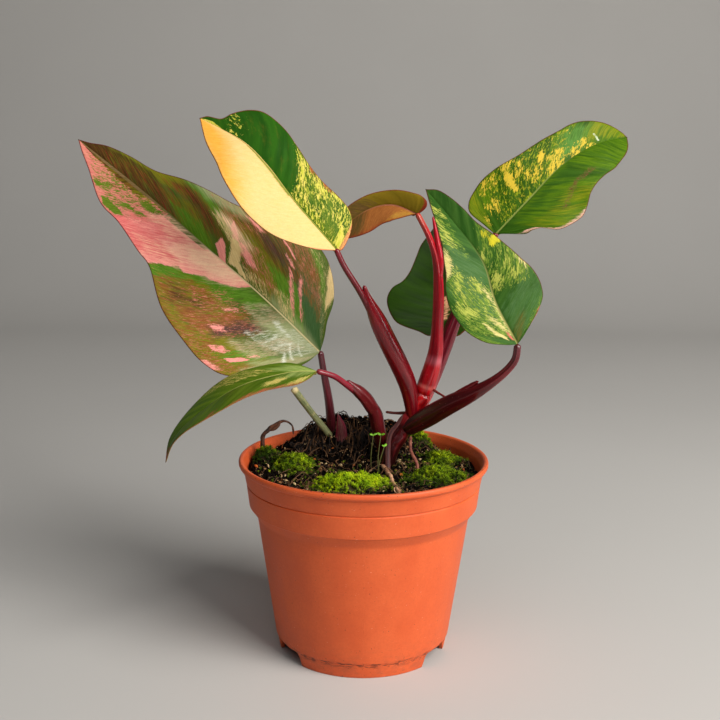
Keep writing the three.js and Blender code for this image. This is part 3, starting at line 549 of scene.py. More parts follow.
def shoot_shape():
    """A stalk of height 1 with pointed leaves. Each leaf is a three-sided spike that leans outwards."""
    turn = np.arange(SHOOT_LEAVES) * LEAF_TURN
    root = 0.15 + 0.6 * np.arange(SHOOT_LEAVES) / SHOOT_LEAVES
    out = np.stack([np.cos(turn), np.sin(turn), np.zeros(SHOOT_LEAVES)], -1)
    side = np.stack([-np.sin(turn), np.cos(turn), np.zeros(SHOOT_LEAVES)], -1)
    up = np.array([0, 0, 1.0])
    centre = root[:, None] * up
    tip = centre + out * 0.42 + up * 0.42
    back = centre + up * 0.1 - out * 0.03
    leaves = np.stack([centre + side * 0.075, centre - side * 0.075, back, tip], 1)
    stalk = np.array([[[0.05, 0, 0], [-0.03, 0.05, 0], [-0.03, -0.05, 0], [0, 0, 1.05]]])
    spike = np.array([[0, 2, 1], [0, 1, 3], [1, 2, 3], [2, 0, 3]])
    faces = np.concatenate([spike + 4 * k for k in range(SHOOT_LEAVES + 1)])
    return np.concatenate([leaves, stalk]).reshape(-1, 3), faces


def living_moss():
    """Yellow-green at the tips, deeper green below and brown in the depth of the cushion.

    The tone also carries each cushion's painted light and shade.
    """
    look = Look("living_moss", Specular_IOR_Level=0.15)
    patch = look.grain(look.here(5, 5, 5), detail=3)
    low = look.mix(look.between(patch, 0.35, 0.7), (36, 58, 4), (62, 88, 6))
    high = look.mix(look.between(patch, 0.3, 0.7), (130, 168, 6), (206, 226, 22))
    colour = look.mix(look.between(look.number("tone"), 0.15, 1.1), low, high)
    colour = look.lay(colour, (50, 36, 18), look.number("tone"), 0.12, 0.0)
    fine = look.grain(look.here(0.5, 0.5, 0.5), detail=2)
    return look.wear(colour, look.between(fine, 0.3, 0.7, 0.5, 0.75), look.relief(fine, 0.1))


def cushion_rim(angle, cx, cy):
    """How far a cushion's uneven rim stands out at each angle, as a share of its half width."""
    return 1 + 0.1 * np.sin(3 * angle + cx) + 0.06 * np.sin(7 * angle + cy)


def cushion_top(x, y, across, deep, height):
    """Rise of a cushion above the mix: a dome, height x root(1 - d^2), with small bumps."""
    d = np.clip(1 - (x / across) ** 2 - (y / deep) ** 2, 0, 1)
    return height * 0.75 * np.sqrt(d) * (1 + 0.25 * lumps(x + 60, y, 2.4, 7))


def joined(parts):
    """Puts skins together into one: the points one after the other, each skin's faces numbered on."""
    faces, start = [], 0
    for points, more, *_ in parts:
        faces += [[k + start for k in face] for face in more]
        start += len(points)
    return np.concatenate([part[0] for part in parts]), faces


shoot_points, shoot_faces = shoot_shape()
shoot_fade = 0.35 + 0.75 * shoot_points[:, 2]
moss_look = living_moss()
for number, (node, (cx, cy, across, deep, height, painted_light)) in enumerate(CUSHIONS.items()):
    rng = np.random.default_rng(40 + number)
    share = np.sin(np.linspace(np.pi / 2, 0.06, DOME_RINGS))[:, None]
    angle = np.linspace(0, 2 * np.pi, DOME_COLUMNS, endpoint=False)
    rim = cushion_rim(angle, cx, cy)
    x, y = across * share * np.cos(angle) * rim, deep * share * np.sin(angle) * rim
    rise = crumbly_top(cx + x, cy + y) - DOME_SINK + cushion_top(x, y, across, deep, height)
    dome = np.stack([cx + x, cy + y, rise], -1)
    foot = dome[:1].copy()
    foot[..., 2] = crumbly_top(foot[..., 0], foot[..., 1]) - FOOT_SINK
    dome = np.concatenate([foot, dome])
    peak = [cx, cy, float(crumbly_top(cx, cy) - DOME_SINK + cushion_top(0.0, 0.0, across, deep, height))]
    base_points, base_faces = closed_skin(dome, [cx, cy, float(soil_top(cx, cy)) - FOOT_SINK], peak)
    count = int(SHOOTS_PER_AREA * across * deep * math.pi)
    radius, angle = 1.08 * rng.random(count) ** 0.5, rng.uniform(0, 2 * np.pi, count)
    radius = np.where(rng.random(count) < STRAY_SHARE, 1.05 + 0.45 * rng.random(count) ** 1.5, radius)
    rim = cushion_rim(angle, cx, cy)
    x, y = across * radius * np.cos(angle) * rim, deep * radius * np.sin(angle) * rim
    x, y = pull_in(cx + x, cy + y, MOSS_REACH)
    x, y = x - cx, y - cy
    rise = crumbly_top(cx + x, cy + y) - SHOOT_SINK + cushion_top(x, y, across, deep, height)
    place = np.stack([cx + x, cy + y, rise], -1)
    lean = np.stack([x / across * 0.7, y / deep * 0.7, np.ones(count)], -1)
    lean += rng.normal(0, 0.28, (count, 3))
    size = rng.uniform(1.5, 3.4, count) * (1.15 - 0.35 * np.minimum(radius, 1.1))
    points, faces = scatter(shoot_points, shoot_faces, place, lean, size, rng)
    moss = make_piece(node + "_tufts", *joined([(base_points, base_faces), (points, faces)]), "moss", node)
    outer = np.clip(1.1 - 0.45 * radius ** 3, 0.25, 1)
    # Each shoot's brightness is scaled by its cushion's painted light, which paints light and shade on the
    # cushions.
    bright = painted_light * np.clip(rng.normal(0.62, 0.25, count) * outer, 0.1, 1)
    tone = bright[:, None] * shoot_fade
    keep(moss, "tone", np.concatenate([np.full(len(base_points), 0.03), tone.ravel()]))
    moss.data.materials.append(moss_look)

rng = np.random.default_rng(61)
count = 1500
x, y = anywhere_in_pot(count, rng, 52)
wanted = bell(x, y, (30, -6), 17, 30) + (0.6 * bell(x, y, (-20, -18), 16, 10) + 0.12)
kept = (rng.random(count) < wanted) & (mound_distance(x, y, 33, 22) > 1)
x, y = x[kept], y[kept]
count = len(x)
place = np.stack([x, y, crumbly_top(x, y) - SPRIG_SINK], -1)
lean = np.array([0, 0, 1.0]) + rng.normal(0, 0.4, (count, 3))
points, faces = scatter(shoot_points, shoot_faces, place, lean, rng.uniform(1.3, 2.6, count), rng)
sprigs = make_piece("moss_sprigs", points, faces, "moss")
tone = np.clip(rng.normal(0.45, 0.25, count), 0.05, 1)[:, None] * shoot_fade
keep(sprigs, "tone", tone.ravel())
sprigs.data.materials.append(moss_look)

# ---- Seedlings -----------------------------------------------------------------------------------
# Three weeds have sprouted in front of the arching leaf's stalk. Each is a thread-like pale green stalk
# with two small oval leaves that tilt forward. A weed is its foot, its head, its leaves' half length and
# their turn.
SEEDLINGS = {
    "seedling_left": ([3.8, -1, 86], [4.6, 0.5, 105.4], 1.1, 0.3),
    "seedling_middle": ([7, -4.6, 86], [8.2, -1.8, 106.2], 1.2, -0.4),
    "seedling_right": ([6.4, -9.4, 86], [9.8, -7.4, 102.2], 1.1, 0.9),
}
WEED_TILT, WEED_LIFT, WEED_RADIUS, WEED_STEPS, WEED_SIDES = 0.7, 0.35, 0.24, 20, 8
WALK_POINTS = 1201


def curve(points, shares):
    """Places and directions on a smooth curve, at shares of its length.

    The curve is a uniform Catmull-Rom spline through the points, its ends mirrored. A fine walk along it
    turns shares of its length into the spline's own steps.
    """
    points = np.asarray(points, float)
    spans = len(points) - 1
    padded = np.vstack([2 * points[0] - points[1], points, 2 * points[-1] - points[-2]])

    def at(u):
        k = np.minimum((u * spans).astype(int), spans - 1)
        w = (u * spans - k)[..., None]
        a, b, c, d = padded[k], padded[k + 1], padded[k + 2], padded[k + 3]
        place = 0.5 * (2 * b + (c - a) * w + (2 * a - 5 * b + 4 * c - d) * w ** 2
                       + (3 * b - a - 3 * c + d) * w ** 3)
        slope = (c - a) + 2 * (2 * a - 5 * b + 4 * c - d) * w + 3 * (3 * b - a - 3 * c + d) * w ** 2
        return place, slope / np.linalg.norm(slope, axis=-1, keepdims=True)

    walk = np.linspace(0, 1, WALK_POINTS)
    run = np.concatenate([[0], np.cumsum(np.linalg.norm(np.diff(at(walk)[0], axis=0), axis=1))])
    place, along = at(np.interp(np.clip(shares, 0, 1) * run[-1], run, walk))
    return place, along, run[-1]


def oval(leaf, side, turn):
    """A small flat oval leaf: an ellipsoid moved out to one side, tilted forward, lifted and turned."""
    u = np.linspace(0.15, np.pi - 0.15, 9)[:, None]
    v = np.linspace(0, 2 * np.pi, 14, endpoint=False)
    ball = np.stack([-np.cos(u) + 0 * v, np.sin(u) * np.cos(v), np.sin(u) * np.sin(v)], -1)
    shape = np.array([leaf, 0.55 * leaf, 0.3])
    spots = [ball, np.array([[[-1.0, 0, 0]]]), np.array([[[1.0, 0, 0]]])]
    turn = (Matrix.Rotation(turn, 3, "Z") @ Matrix.Rotation(-side * WEED_LIFT, 3, "Y")
            @ Matrix.Rotation(WEED_TILT, 3, "X"))
    skin, start, end = ((s * shape + [side * 0.85 * leaf, 0, 0]) @ np.array(turn).T for s in spots)
    return skin, start[0, 0], end[0, 0]


def young_weed():
    """Fresh yellow-green, paler on the stalk, with a soft shine."""
    look = Look("young_weed", Coat_Weight=0.15, Coat_Roughness=0.3, Subsurface_Weight=0.1)
    look.shader.inputs["Subsurface Radius"].default_value = (0.0006, 0.001, 0.0003)
    spots = look.grain(look.here(0.8, 0.8, 0.8), detail=3)
    leafy = look.mix(look.between(spots, 0.3, 0.7), (88, 146, 14), (124, 180, 28))
    colour = look.mix(look.number("tone"), (84, 84, 34), leafy)
    return look.wear(colour, 0.5, look.relief(spots, 0.08))


weed_look = young_weed()
for node, (foot, head, leaf, turn) in SEEDLINGS.items():
    foot, head = np.array(foot), np.array(head)
    middle = (foot + head) / 2 - [0.6, 0, 0]
    line = curve([foot, middle, head], np.linspace(0, 1, WEED_STEPS))[0]
    parts = [tubes(line[None], np.full((1, WEED_STEPS), WEED_RADIUS), WEED_SIDES)]
    for side in (-1, 1):
        skin, start, end = oval(leaf, side, turn)
        parts.append(closed_skin(skin + head, start + head, end + head))
    weed = make_piece(node + "_plant", *joined(parts), "seedling", node)
    keep(weed, "tone", np.concatenate([np.full(len(part[0]), min(k, 1)) for k, part in enumerate(parts)]))
    weed.data.materials.append(weed_look)

# ---- Stem and leaf stalks ------------------------------------------------------------------------
# A short rootstock leans out of the mix and ends in a red joint. Each leaf stalk is glossy, fleshy and
# round, sheathed below and bare above, and grows out of the rootstock or out of the mix beside it.
def run_round(sides, share, length):
    """The (round, along, share) of each point of a limb's skin, with its two poles last."""
    angle = np.linspace(0, 1, sides, endpoint=False)
    run = np.stack(np.broadcast_arrays(angle[None], share[:, None] * length, share[:, None]), -1)
    return np.concatenate([run.reshape(-1, 3), [[0, 0, 0], [0, length, 1]]])


def limb(points, radii, sides=32, spacing=0.7, ridges=(), lumpy=0.0, blunt=1.0):
    """Skin of one limb, with its (round, along, share) at each point.

    The radii stand at even steps of its length and are averaged over nearby rings. A ridge (angle, drift,
    height, width) adds height x exp(-(turn from its line / width)^2), its line drifting round. The ends
    are rounded over blunt times their radius.
    """
    length = curve(points, np.zeros(1))[2]
    steps = max(int(length / spacing), 12)
    share = np.linspace(0, 1, steps)
    line = curve(points, share)[0]
    radius = np.interp(share, np.linspace(0, 1, len(radii)), radii)
    reach = max(steps // 16, 1)
    padded = np.pad(radius, 2 * reach, "edge")
    window = np.hanning(4 * reach + 3)[1:-1]
    radius = np.convolve(padded, window / window.sum(), "valid")
    for inset in (share * length, (1 - share) * length):
        near = np.clip(inset / (blunt * radius + 1e-6), 0.02, 1)
        radius = radius * np.sqrt(1 - (1 - near) ** 2)

    def lobe(u, angle):
        rise = lumpy * lumps(u * length + 2 * np.cos(angle), 2 * np.sin(angle) + 0 * u, 2.1, 9)
        for middle, drift, height, width in ridges:
            turn = np.angle(np.exp(1j * (angle - np.radians(middle + drift * u))))
            rise = rise + height * np.exp(-(turn / width) ** 2) * np.sin(np.pi * np.clip(u, 0, 1)) ** 0.3
        return rise

    return *tubes(line[None], radius[None], sides, lobe=lobe), run_round(sides, share, length)


def grow(node, name, slot, limbs):
    """Makes one piece of several limbs and keeps the run of each point. Hands back each limb's run too."""
    parts = [limb(points, radii, **extra) for points, radii, extra in limbs]
    piece = make_piece(name, *joined(parts), slot, node)
    runs = [part[2] for part in parts]
    keep(piece, "run", np.concatenate(runs))
    return piece, runs


def stalk_skin(name, stops, sheath, streak):
    """Colours along a stalk at (share, colour) stops, with long streaks, pale specks and a wet shine."""
    look = Look(name, Coat_Weight=0.75, Coat_Roughness=0.12, Specular_IOR_Level=0.1)
    share = look.number("share")
    colour = stops[0][1]
    for (start, _), (end, next_colour) in zip(stops, stops[1:]):
        colour = look.lay(colour, next_colour, share, start, end)
    colour = look.mix(look.number("sheath"), colour, sheath)
    lines = look.grain(look.stored("run", 0.05, 16), detail=4, rough=0.65)
    colour = look.lay(colour, streak, lines, 0.46, 0.68, 0.6)
    shade_lines = look.grain(look.stored("run", 0.11, 30), detail=3, rough=0.6)
    colour = look.lay(colour, (40, 3, 5), shade_lines, 0.56, 0.34, 0.5)
    specks = look.grain(look.here(0.7, 0.7, 0.9), detail=1)
    colour = look.lay(colour, (196, 150, 130), specks, 0.74, 0.79, 0.3)
    rough = look.between(lines, 0.3, 0.7, 0.32, 0.48)
    normal = look.relief(lines, 0.12, 0.6, look.relief(specks, 0.06, 0.5))
    return look.wear(colour, rough, normal)


# A stalk is its piece's name, slot and limbs, its colours by share of its length, and the colours of its
# sheath and its streaks. A limb is the points of its middle, its radii and its extras.
# FOOT_SHADE is painted shade: the near-black maroon at each stalk's foot, low among the leaves, laid over the
# stalks' own dark maroon.
MAROON, FOOT_SHADE, RED, ROSE = (98, 4, 14), (38, 3, 4), (200, 3, 14), (206, 84, 84)
STALKS = {
    # The rootstock's lower two thirds, under the front stalk's sheath, are painted near-black maroon: painted
    # shade over its own dark maroon.
    "stem": ("rootstock", "maroon_stem", [
        ([[8, 3, 76], [11, 3, 90], [14, 3.5, 99], [19, 5, 106.5], [24.2, 5.2, 116.4], [30, 5.4, 126.5]],
         [3.6, 3.9, 4.2, 4, 3.8, 4.7], dict(ridges=[(60, 0, 0.25, 0.2)], lumpy=0.25))],
        [(0.3, (30, 6, 6)), (0.62, (62, 6, 10)), (0.74, (190, 44, 50)), (0.8, RED), (0.94, (206, 14, 22)),
         (1, ROSE)], MAROON, (120, 16, 24)),
    "petiole_half_yellow": ("stalk_half_yellow", "maroon_stem", [
        ([[24, 4, 112], [19.5, 2, 131.9], [7.2, -1, 157], [-1.4, -5, 174.1], [-9.3, -7, 186.9],
          [-12.8, -8, 194.2], [-13.2, -8, 196]], [2.4, 3, 3, 2.2, 1.6, 1.4, 1.3], {}),
        ([[24, 4, 112], [20.5, 1.8, 131], [8.6, -1.4, 156.4], [1.6, -4, 172], [-0.6, -4.8, 178.6]],
         [2.8, 4.4, 4.6, 4.2, 0.6], dict(ridges=[(128, 10, 0.3, 0.16), (156, 6, -0.3, 0.22)]))],
        [(0, FOOT_SHADE), (0.3, MAROON), (0.6, (110, 8, 22)), (0.8, (84, 6, 18)), (1, (110, 18, 30))],
        (116, 4, 16), (166, 14, 34)),
    "petiole_young": ("stalk_young", "red_stem", [
        ([[28.2, 5.4, 123.4], [31, 5, 132.4], [33.2, 5, 141], [34.4, 5, 150], [34.9, 5, 173],
          [33.6, 4.5, 188.7], [30, 4, 200], [24.6, 3, 210.2], [23.6, 2.9, 211.4]],
         [4.6, 4.5, 3.6, 2.8, 2.7, 2.5, 1.8, 1.4, 1.3],
         dict(ridges=[(100, -10, 0.35, 0.2), (140, 0, -0.3, 0.22)])),
        ([[35, 4.6, 180], [35.2, 4.3, 190], [33.4, 4, 200], [31.4, 4, 210]], [1.6, 1.7, 1.2, 0.5], {})],
        # The pink band from 0.21 to 0.25 of the young stalk's length is a painted highlight; the salmon band
        # near its foot is its node ring.
        [(0.05, (200, 10, 20)), (0.065, (216, 96, 88)), (0.085, (168, 2, 12)), (0.17, (196, 4, 22)),
         (0.21, (214, 96, 108)), (0.25, (172, 10, 30)), (0.7, (166, 6, 22)), (0.85, (190, 24, 32)),
         (1, (200, 78, 60))], (176, 12, 32), (214, 40, 62)),
    "petiole_front": ("stalk_front", "dark_stem", [
        ([[19, 5, 106.8], [29.3, 0, 114.2], [40.5, -8, 123.1], [52.1, -16, 131.3], [61.6, -23, 140],
          [67, -28, 148], [67.9, -30.2, 154.8], [67.9, -30.2, 156.2]], [3.6, 4.9, 4.7, 4.3, 3.1, 2, 1.7, 1.6],
         dict(ridges=[(30, 30, -0.5, 0.22), (60, 20, 0.35, 0.2), (150, 0, 0.3, 0.3)])),
        ([[38, -6.5, 123], [47, -12.6, 131.4], [52.6, -16, 136]], [2, 1.6, 0.7], dict(lumpy=0.15))],
        [(0, FOOT_SHADE), (0.4, (62, 5, 9)), (0.62, (84, 7, 13)), (0.8, (120, 12, 26)), (0.95, (90, 32, 40)),
         (1, (86, 40, 44))], (124, 22, 26), (112, 10, 18)),
    "petiole_upper": ("stalk_upper", "dark_stem", [
        ([[22, 7, 110], [27.2, 10, 117.5], [32, 13, 128.3], [38.4, 15, 144.8], [44.6, 15.5, 162],
          [53, 15, 184], [61.7, 14, 200.1], [62.3, 14, 201.4]], [2.6, 3.9, 4.1, 3.9, 3.2, 2.3, 1.5, 1.4],
         dict(ridges=[(90, 0, -0.35, 0.18), (120, 0, 0.3, 0.16), (60, 0, 0.3, 0.16)]))],
        [(0, RED), (0.12, (200, 16, 36)), (0.3, (110, 8, 26)), (0.6, (84, 8, 24)), (1, (84, 16, 22))], MAROON,
        (166, 30, 60)),
    "petiole_shaded": ("stalk_shaded", "dark_stem", [
        ([[18, 7, 102], [21, 13, 107.5], [25.4, 19, 118], [30.4, 22, 128], [35.2, 25.5, 141], [37, 27, 150.2],
          [37.8, 27.8, 152.6]], [2.2, 2, 1.8, 1.6, 1.4, 1.3, 1.2], {})],
        [(0, FOOT_SHADE), (1, (84, 18, 22))], MAROON, (120, 24, 32)),
    "petiole_pink": ("stalk_pink", "dark_stem", [
        ([[-14.8, 31, 88], [-16, 30, 98], [-17, 29, 110.7], [-18.2, 28, 119.7], [-19.8, 27, 128.7],
          [-21.6, 26.1, 140], [-22, 26, 141.6]], [2.5, 2.5, 2.3, 2, 1.7, 1.5],
         dict(ridges=[(110, 0, -0.2, 0.25), (70, 10, 0.2, 0.2)]))],
        [(0, FOOT_SHADE), (0.35, (78, 20, 28)), (0.7, (104, 34, 44)), (1, (96, 30, 40))], MAROON, (134, 62, 74)),
    "petiole_arching": ("stalk_arching", "dark_stem", [
        ([[10.6, 13, 82], [9.7, 11, 90.9], [8.5, 9, 100.7], [7, 7, 107.8], [5.2, 4, 116], [0.4, -1, 123.7],
          [-8.1, -8, 131.9], [-14, -12, 136.9], [-20.8, -15.6, 139.7], [-22.2, -16, 139.9]],
         [2, 2.2, 3.2, 3.6, 2.6, 1.6, 1.4, 1.3], {}),
        ([[5.2, 4, 116], [0.6, -1.2, 124.2], [-5, -5.8, 130.6], [-8, -7.8, 134]], [3.2, 3.3, 3, 0.7],
         dict(ridges=[(60, 0, 0.4, 0.2), (95, 0, -0.3, 0.2)]))],
        [(0, FOOT_SHADE), (0.3, (92, 20, 24)), (0.55, (98, 22, 28)), (0.75, (142, 36, 52)), (1, (128, 30, 44))],
        (96, 22, 26), (132, 44, 50)),
}

for node, (name, slot, limbs, stops, sheath, streak) in STALKS.items():
    stalk, runs = grow(node, name, slot, limbs)
    keep(stalk, "share", np.concatenate(runs)[:, 2])
    keep(stalk, "sheath", np.concatenate([np.full(len(run), min(k, 1)) for k, run in enumerate(runs)]))
    stalk.data.materials.append(stalk_skin(name + "_skin", stops, sheath, streak))

# A leaf was cut off and its pale stalk left standing, its cut face dried and its foot browned.
stub, (run,) = grow("cut_petiole", "stalk_stub", "cut_stem", [
    ([[-12.6, 27.5, 90], [-16.8, 24, 98.4], [-26.6, 18, 112.8], [-34.6, 12.4, 125.6]], [1.6, 1.7, 1.7, 1.8],
     dict(blunt=0.12, ridges=[(20, 0, -0.15, 0.4), (140, 0, 0.12, 0.3)]))])
keep(stub, "share", run[:, 2])
look = Look("cut_stalk_skin", Coat_Weight=0.12, Coat_Roughness=0.35)
share = look.number("share")
fine = look.grain(look.stored("run", 0.035, 20), detail=4, rough=0.7)
colour = look.mix(look.between(fine, 0.35, 0.65), (168, 170, 122), (112, 122, 76))
rings = look.grain(look.stored("run", 0.6, 1.6), detail=3)
colour = look.lay(colour, (216, 196, 132), rings, 0.5, 0.75, 0.5)
colour = look.lay(colour, (104, 110, 68), share, 0.3, 0.1)
colour = look.lay(colour, (58, 44, 24), share, 0.14, 0.02)
colour = look.lay(colour, (214, 196, 140), share, 0.93, 0.97)
colour = look.lay(colour, (226, 206, 158), share, 0.985, 0.998)
stub.data.materials.append(look.wear(colour, 0.5, look.relief(fine, 0.12, 0.7)))

# ---- Tendril and aerial roots --------------------------------------------------------------------
# A dead tendril curls over the pot's rim at the left, crumpled near its top. Aerial roots leave the stem:
# three are short, and a long woody one forks down over the mix to the front of the pot.
def dry_skin(name, dark, pale, red=(120, 60, 44)):
    """Dried plant skin: wrinkled along its length, patchy from dark to pale, quite matt."""
    look = Look(name, Specular_IOR_Level=0.35)
    patch = look.grain(look.here(3, 3, 3), detail=4, rough=0.65)
    lines = look.grain(look.stored("run", 0.12, 3), detail=3, rough=0.7)
    colour = look.mix(look.between(patch, 0.35, 0.65), dark, pale)
    colour = look.lay(colour, red, lines, 0.5, 0.75, 0.7)
    return look.wear(colour, look.between(lines, 0.3, 0.7, 0.55, 0.85), look.relief(lines, 0.25))


# A twig is its piece's name, its limbs, and the dark and pale colour of its skin.
TWIGS = {
    "dry_tendril": ("tendril", [
        ([[-48.6, 15, 82], [-49.6, 14, 92.6], [-49.8, 14, 100.4], [-46.9, 15, 104], [-42, 16, 107.2],
          [-38.7, 17, 107.8], [-35.6, 18, 105.2], [-34.9, 18, 100.6]],
         [1.2, 1.1, 1.1, 1.0, 1.1, 0.8, 0.6, 0.5], dict(sides=14, spacing=0.4, lumpy=0.3)),
        ([[-47.2, 15, 103.6], [-44.6, 14.8, 104.2], [-42.2, 15.4, 106], [-41.2, 16, 108.4]],
         [0.4, 0.7, 1.0, 0.45], dict(sides=10, spacing=0.3, lumpy=0.35))], (34, 20, 14), (94, 56, 36)),
    "aerial_root_right": ("root_right", [
        ([[32.4, 3.4, 128], [35.4, 1, 126.4], [38.8, -1.4, 124.8]], [0.7, 0.6, 0.5],
         dict(sides=12, spacing=0.35, lumpy=0.1))], (96, 22, 22), (150, 44, 34)),
    "aerial_root_left": ("root_left", [
        ([[21.5, 4.4, 115.6], [16, 5.4, 115.2], [10.6, 6.6, 115.4]], [0.9, 0.7, 0.6],
         dict(sides=12, spacing=0.35, lumpy=0.12))], (58, 18, 16), (92, 34, 26)),
    "aerial_root_down": ("root_down", [
        ([[22.6, -1, 105.4], [22.6, -2.4, 98.8], [25.4, -7, 93.4], [26.4, -8, 86]], [0.7, 0.8, 0.8, 0.6],
         dict(sides=12, spacing=0.35, lumpy=0.12))], (104, 48, 38), (156, 96, 76)),
}
for node, (name, limbs, dark, pale) in TWIGS.items():
    twig, _ = grow(node, name, "dried_plant", limbs)
    twig.data.materials.append(dry_skin(name + "_skin", dark, pale))

# The long root seen from above, and its forks: how far each swings aside, how high it lies, its radius, and
# the steps of the plan that it follows.
LONG_ROOT = [[9.4, -5, 0], [11, -10, 0], [12.8, -18, 0], [14.6, -31, 0], [17, -45, 0]]
FORKS = [(0, 0.5, 1.0, 0, 60), (1.4, 0.1, 0.42, 22, 60), (-1.3, 0, 0.34, 30, 56)]
ROOT_LENGTH, ROOT_SIDES = 40, 12
plan = curve(LONG_ROOT, np.linspace(0, 1, 60))[0]
branches = []
for shift, high, thick, start, end in FORKS:
    u = np.linspace(0, 1, end - start)
    run = u * ROOT_LENGTH
    line = plan[start:end].copy()
    line[:, 0] += shift * np.sin(np.pi * u ** 0.8) + 0.4 * lumps(run, shift + 0 * u, 3, 5)
    rough = 0.4 * lumps(run, shift + 9 + 0 * u, 4, 6)
    line[:, 2] = soil_top(line[:, 0], line[:, 1]) + 0.9 + high + rough
    radius = thick * (1 - 0.35 * u) * (1 + 0.25 * lumps(run, shift + 5 + 0 * u, 1.6, 8))
    skin = tubes(line[None], radius[None], ROOT_SIDES, front=(0, 0, 1))
    branches.append((*skin, run_round(ROOT_SIDES, u, ROOT_LENGTH)))
long_root = make_piece("root_long", *joined(branches), "dried_plant", "aerial_root_long")
keep(long_root, "run", np.concatenate([branch[2] for branch in branches]))
long_root.data.materials.append(dry_skin("long_root_skin", (146, 98, 68), (214, 168, 130), (172, 116, 84)))

# ---- Leaves --------------------------------------------------------------------------------------
# Each leaf is a thin, leathery, glossy blade with a stout midrib and side veins that fan out to the
# margin. The green, cream and pink markings, and the painted sheen on some leaves, follow the side veins,
# so they are kept in the leaf's own measure: s runs from the base to the tip by the veins, and t from the
# midrib to the margin.
BLADE_THICKNESS, MIDRIB_THICKNESS, EDGE_THICKNESS, EDGE_TAPER = 0.62, 1.9, 0.28, 1.6
GROOVE_DEPTH, GROOVE_WIDTH, CHANNEL_DEPTH, CHANNEL_WIDTH, QUILT_HEIGHT = 0.28, 0.55, 0.035, 0.45, 0.02
VEIN_SWEEP, RIB_HALF_WIDTH = 1.5, 0.6
RIGHT_HALF_WAVE_SHIFT = 0.6 * np.pi
FAR_OUTSIDE, SOFT_SLOPE = -6.0, 0.4


class Blade:
    """One leaf's surface, bent round its midrib curve, in mm."""

    def __init__(self, leaf):
        self.leaf = leaf
        self.length = curve(leaf["spine"], np.zeros(1))[2]

    def frames(self, x):
        """Middle, direction, facing and side of the midrib at x mm along it, run on past its ends."""
        u = np.clip(x / self.length, 0, 1)
        middle, along, _ = curve(self.leaf["spine"], u)
        middle = middle + along * (x - u * self.length)[..., None]
        base, tip = (np.array(self.leaf[key]) / np.linalg.norm(self.leaf[key]) for key in ("base", "tip"))
        face = base + (tip - base) * u[..., None]
        face = face - along * (face * along).sum(-1, keepdims=True)
        face /= np.linalg.norm(face, axis=-1, keepdims=True)
        return middle, along, face, np.cross(along, face)

    def at(self, x, y):
        """The blade's middle surface x mm along the midrib and y mm out from it.

        The half turns up by its fold plus its curl with the reach, and waves rise with the reach squared.
        """
        leaf = self.leaf
        middle, _, face, side = self.frames(x)
        half = (y > 0).astype(int)
        reach = np.abs(y)
        fold, curl = np.array(leaf["fold"])[half], np.array(leaf["curl"])[half]
        angle = np.radians(fold + curl * reach / leaf["wide"])
        swell, waves, phase = leaf["wave"]
        turn = 2 * np.pi * (waves * x / self.length + phase) + RIGHT_HALF_WAVE_SHIFT * half
        ripple = swell * (reach / leaf["wide"]) ** 2 * np.sin(turn)
        return (middle + side * (np.sign(y) * reach * np.cos(angle))[..., None]
                + face * (reach * np.sin(angle) + ripple)[..., None])

    def facing(self, x, y):
        """Unit normals, from short steps along and across, which turn to the midrib's own beside it."""
        step = 0.05
        across = self.at(x, y + step) - self.at(x, y - step)
        along = self.at(x + step, y) - self.at(x - step, y)
        normal = np.cross(across, along)
        normal /= np.linalg.norm(normal, axis=-1, keepdims=True)
        own = self.frames(x)[2]
        share = np.exp(-(np.abs(y) / RIB_HALF_WIDTH) ** 2)[..., None]
        normal = normal * (1 - share) + own * share
        return normal / np.linalg.norm(normal, axis=-1, keepdims=True)

    def grid(self, spacing=0.8):
        """The s, t, x and y of each of the grid's points, and each row's span from midrib to margin in mm.

        A row leaves the midrib at length x s^1.5 and ends at share s of the margin's length, bowed out
        on its way.
        """
        leaf = self.leaf
        rows = int(1.15 * self.length / spacing)
        columns = int(leaf["wide"] / spacing) + 2
        s = np.linspace(0, 1, rows + 1)[1:-1]
        t = np.linspace(-1, 1, 2 * columns + 1)
        margins = [curve([[0, 0], *leaf[half], [self.length, 0]], s)[0] for half in ("left", "right")]
        end = np.where(t[None, :, None] > 0, margins[1][:, None], margins[0][:, None])
        reach = np.abs(t)
        root = (self.length * s ** VEIN_SWEEP)[:, None]
        x = root + (end[..., 0] - root) * reach * (0.7 + 0.3 * reach)
        y = np.sign(t) * end[..., 1] * reach * (1.2 - 0.2 * reach)
        span = np.hypot(end[..., 0] - root, end[..., 1])
        return s[:, None] + 0 * x, t[None] + 0 * x, x, y, span


def edge_distance(place, corners):
    """Distance in mm from each place to a closed outline, positive inside, by the crossing rule."""
    best = np.full(place.shape[:-1], 1e9)
    inside = np.zeros(place.shape[:-1], bool)
    for one, other in zip(corners, np.roll(corners, -1, axis=0)):
        edge = other - one
        off = place - one
        share = np.clip((off @ edge) / max(edge @ edge, 1e-9), 0, 1)
        best = np.minimum(best, np.linalg.norm(off - share[..., None] * edge, axis=-1))
        rises = edge[1] if abs(edge[1]) > 1e-9 else 1e-9
        crosses = (one[1] > place[..., 1]) != (other[1] > place[..., 1])
        inside ^= crosses & (place[..., 0] < one[0] + edge[0] * (place[..., 1] - one[1]) / rises)
    return np.where(inside, best, -best)


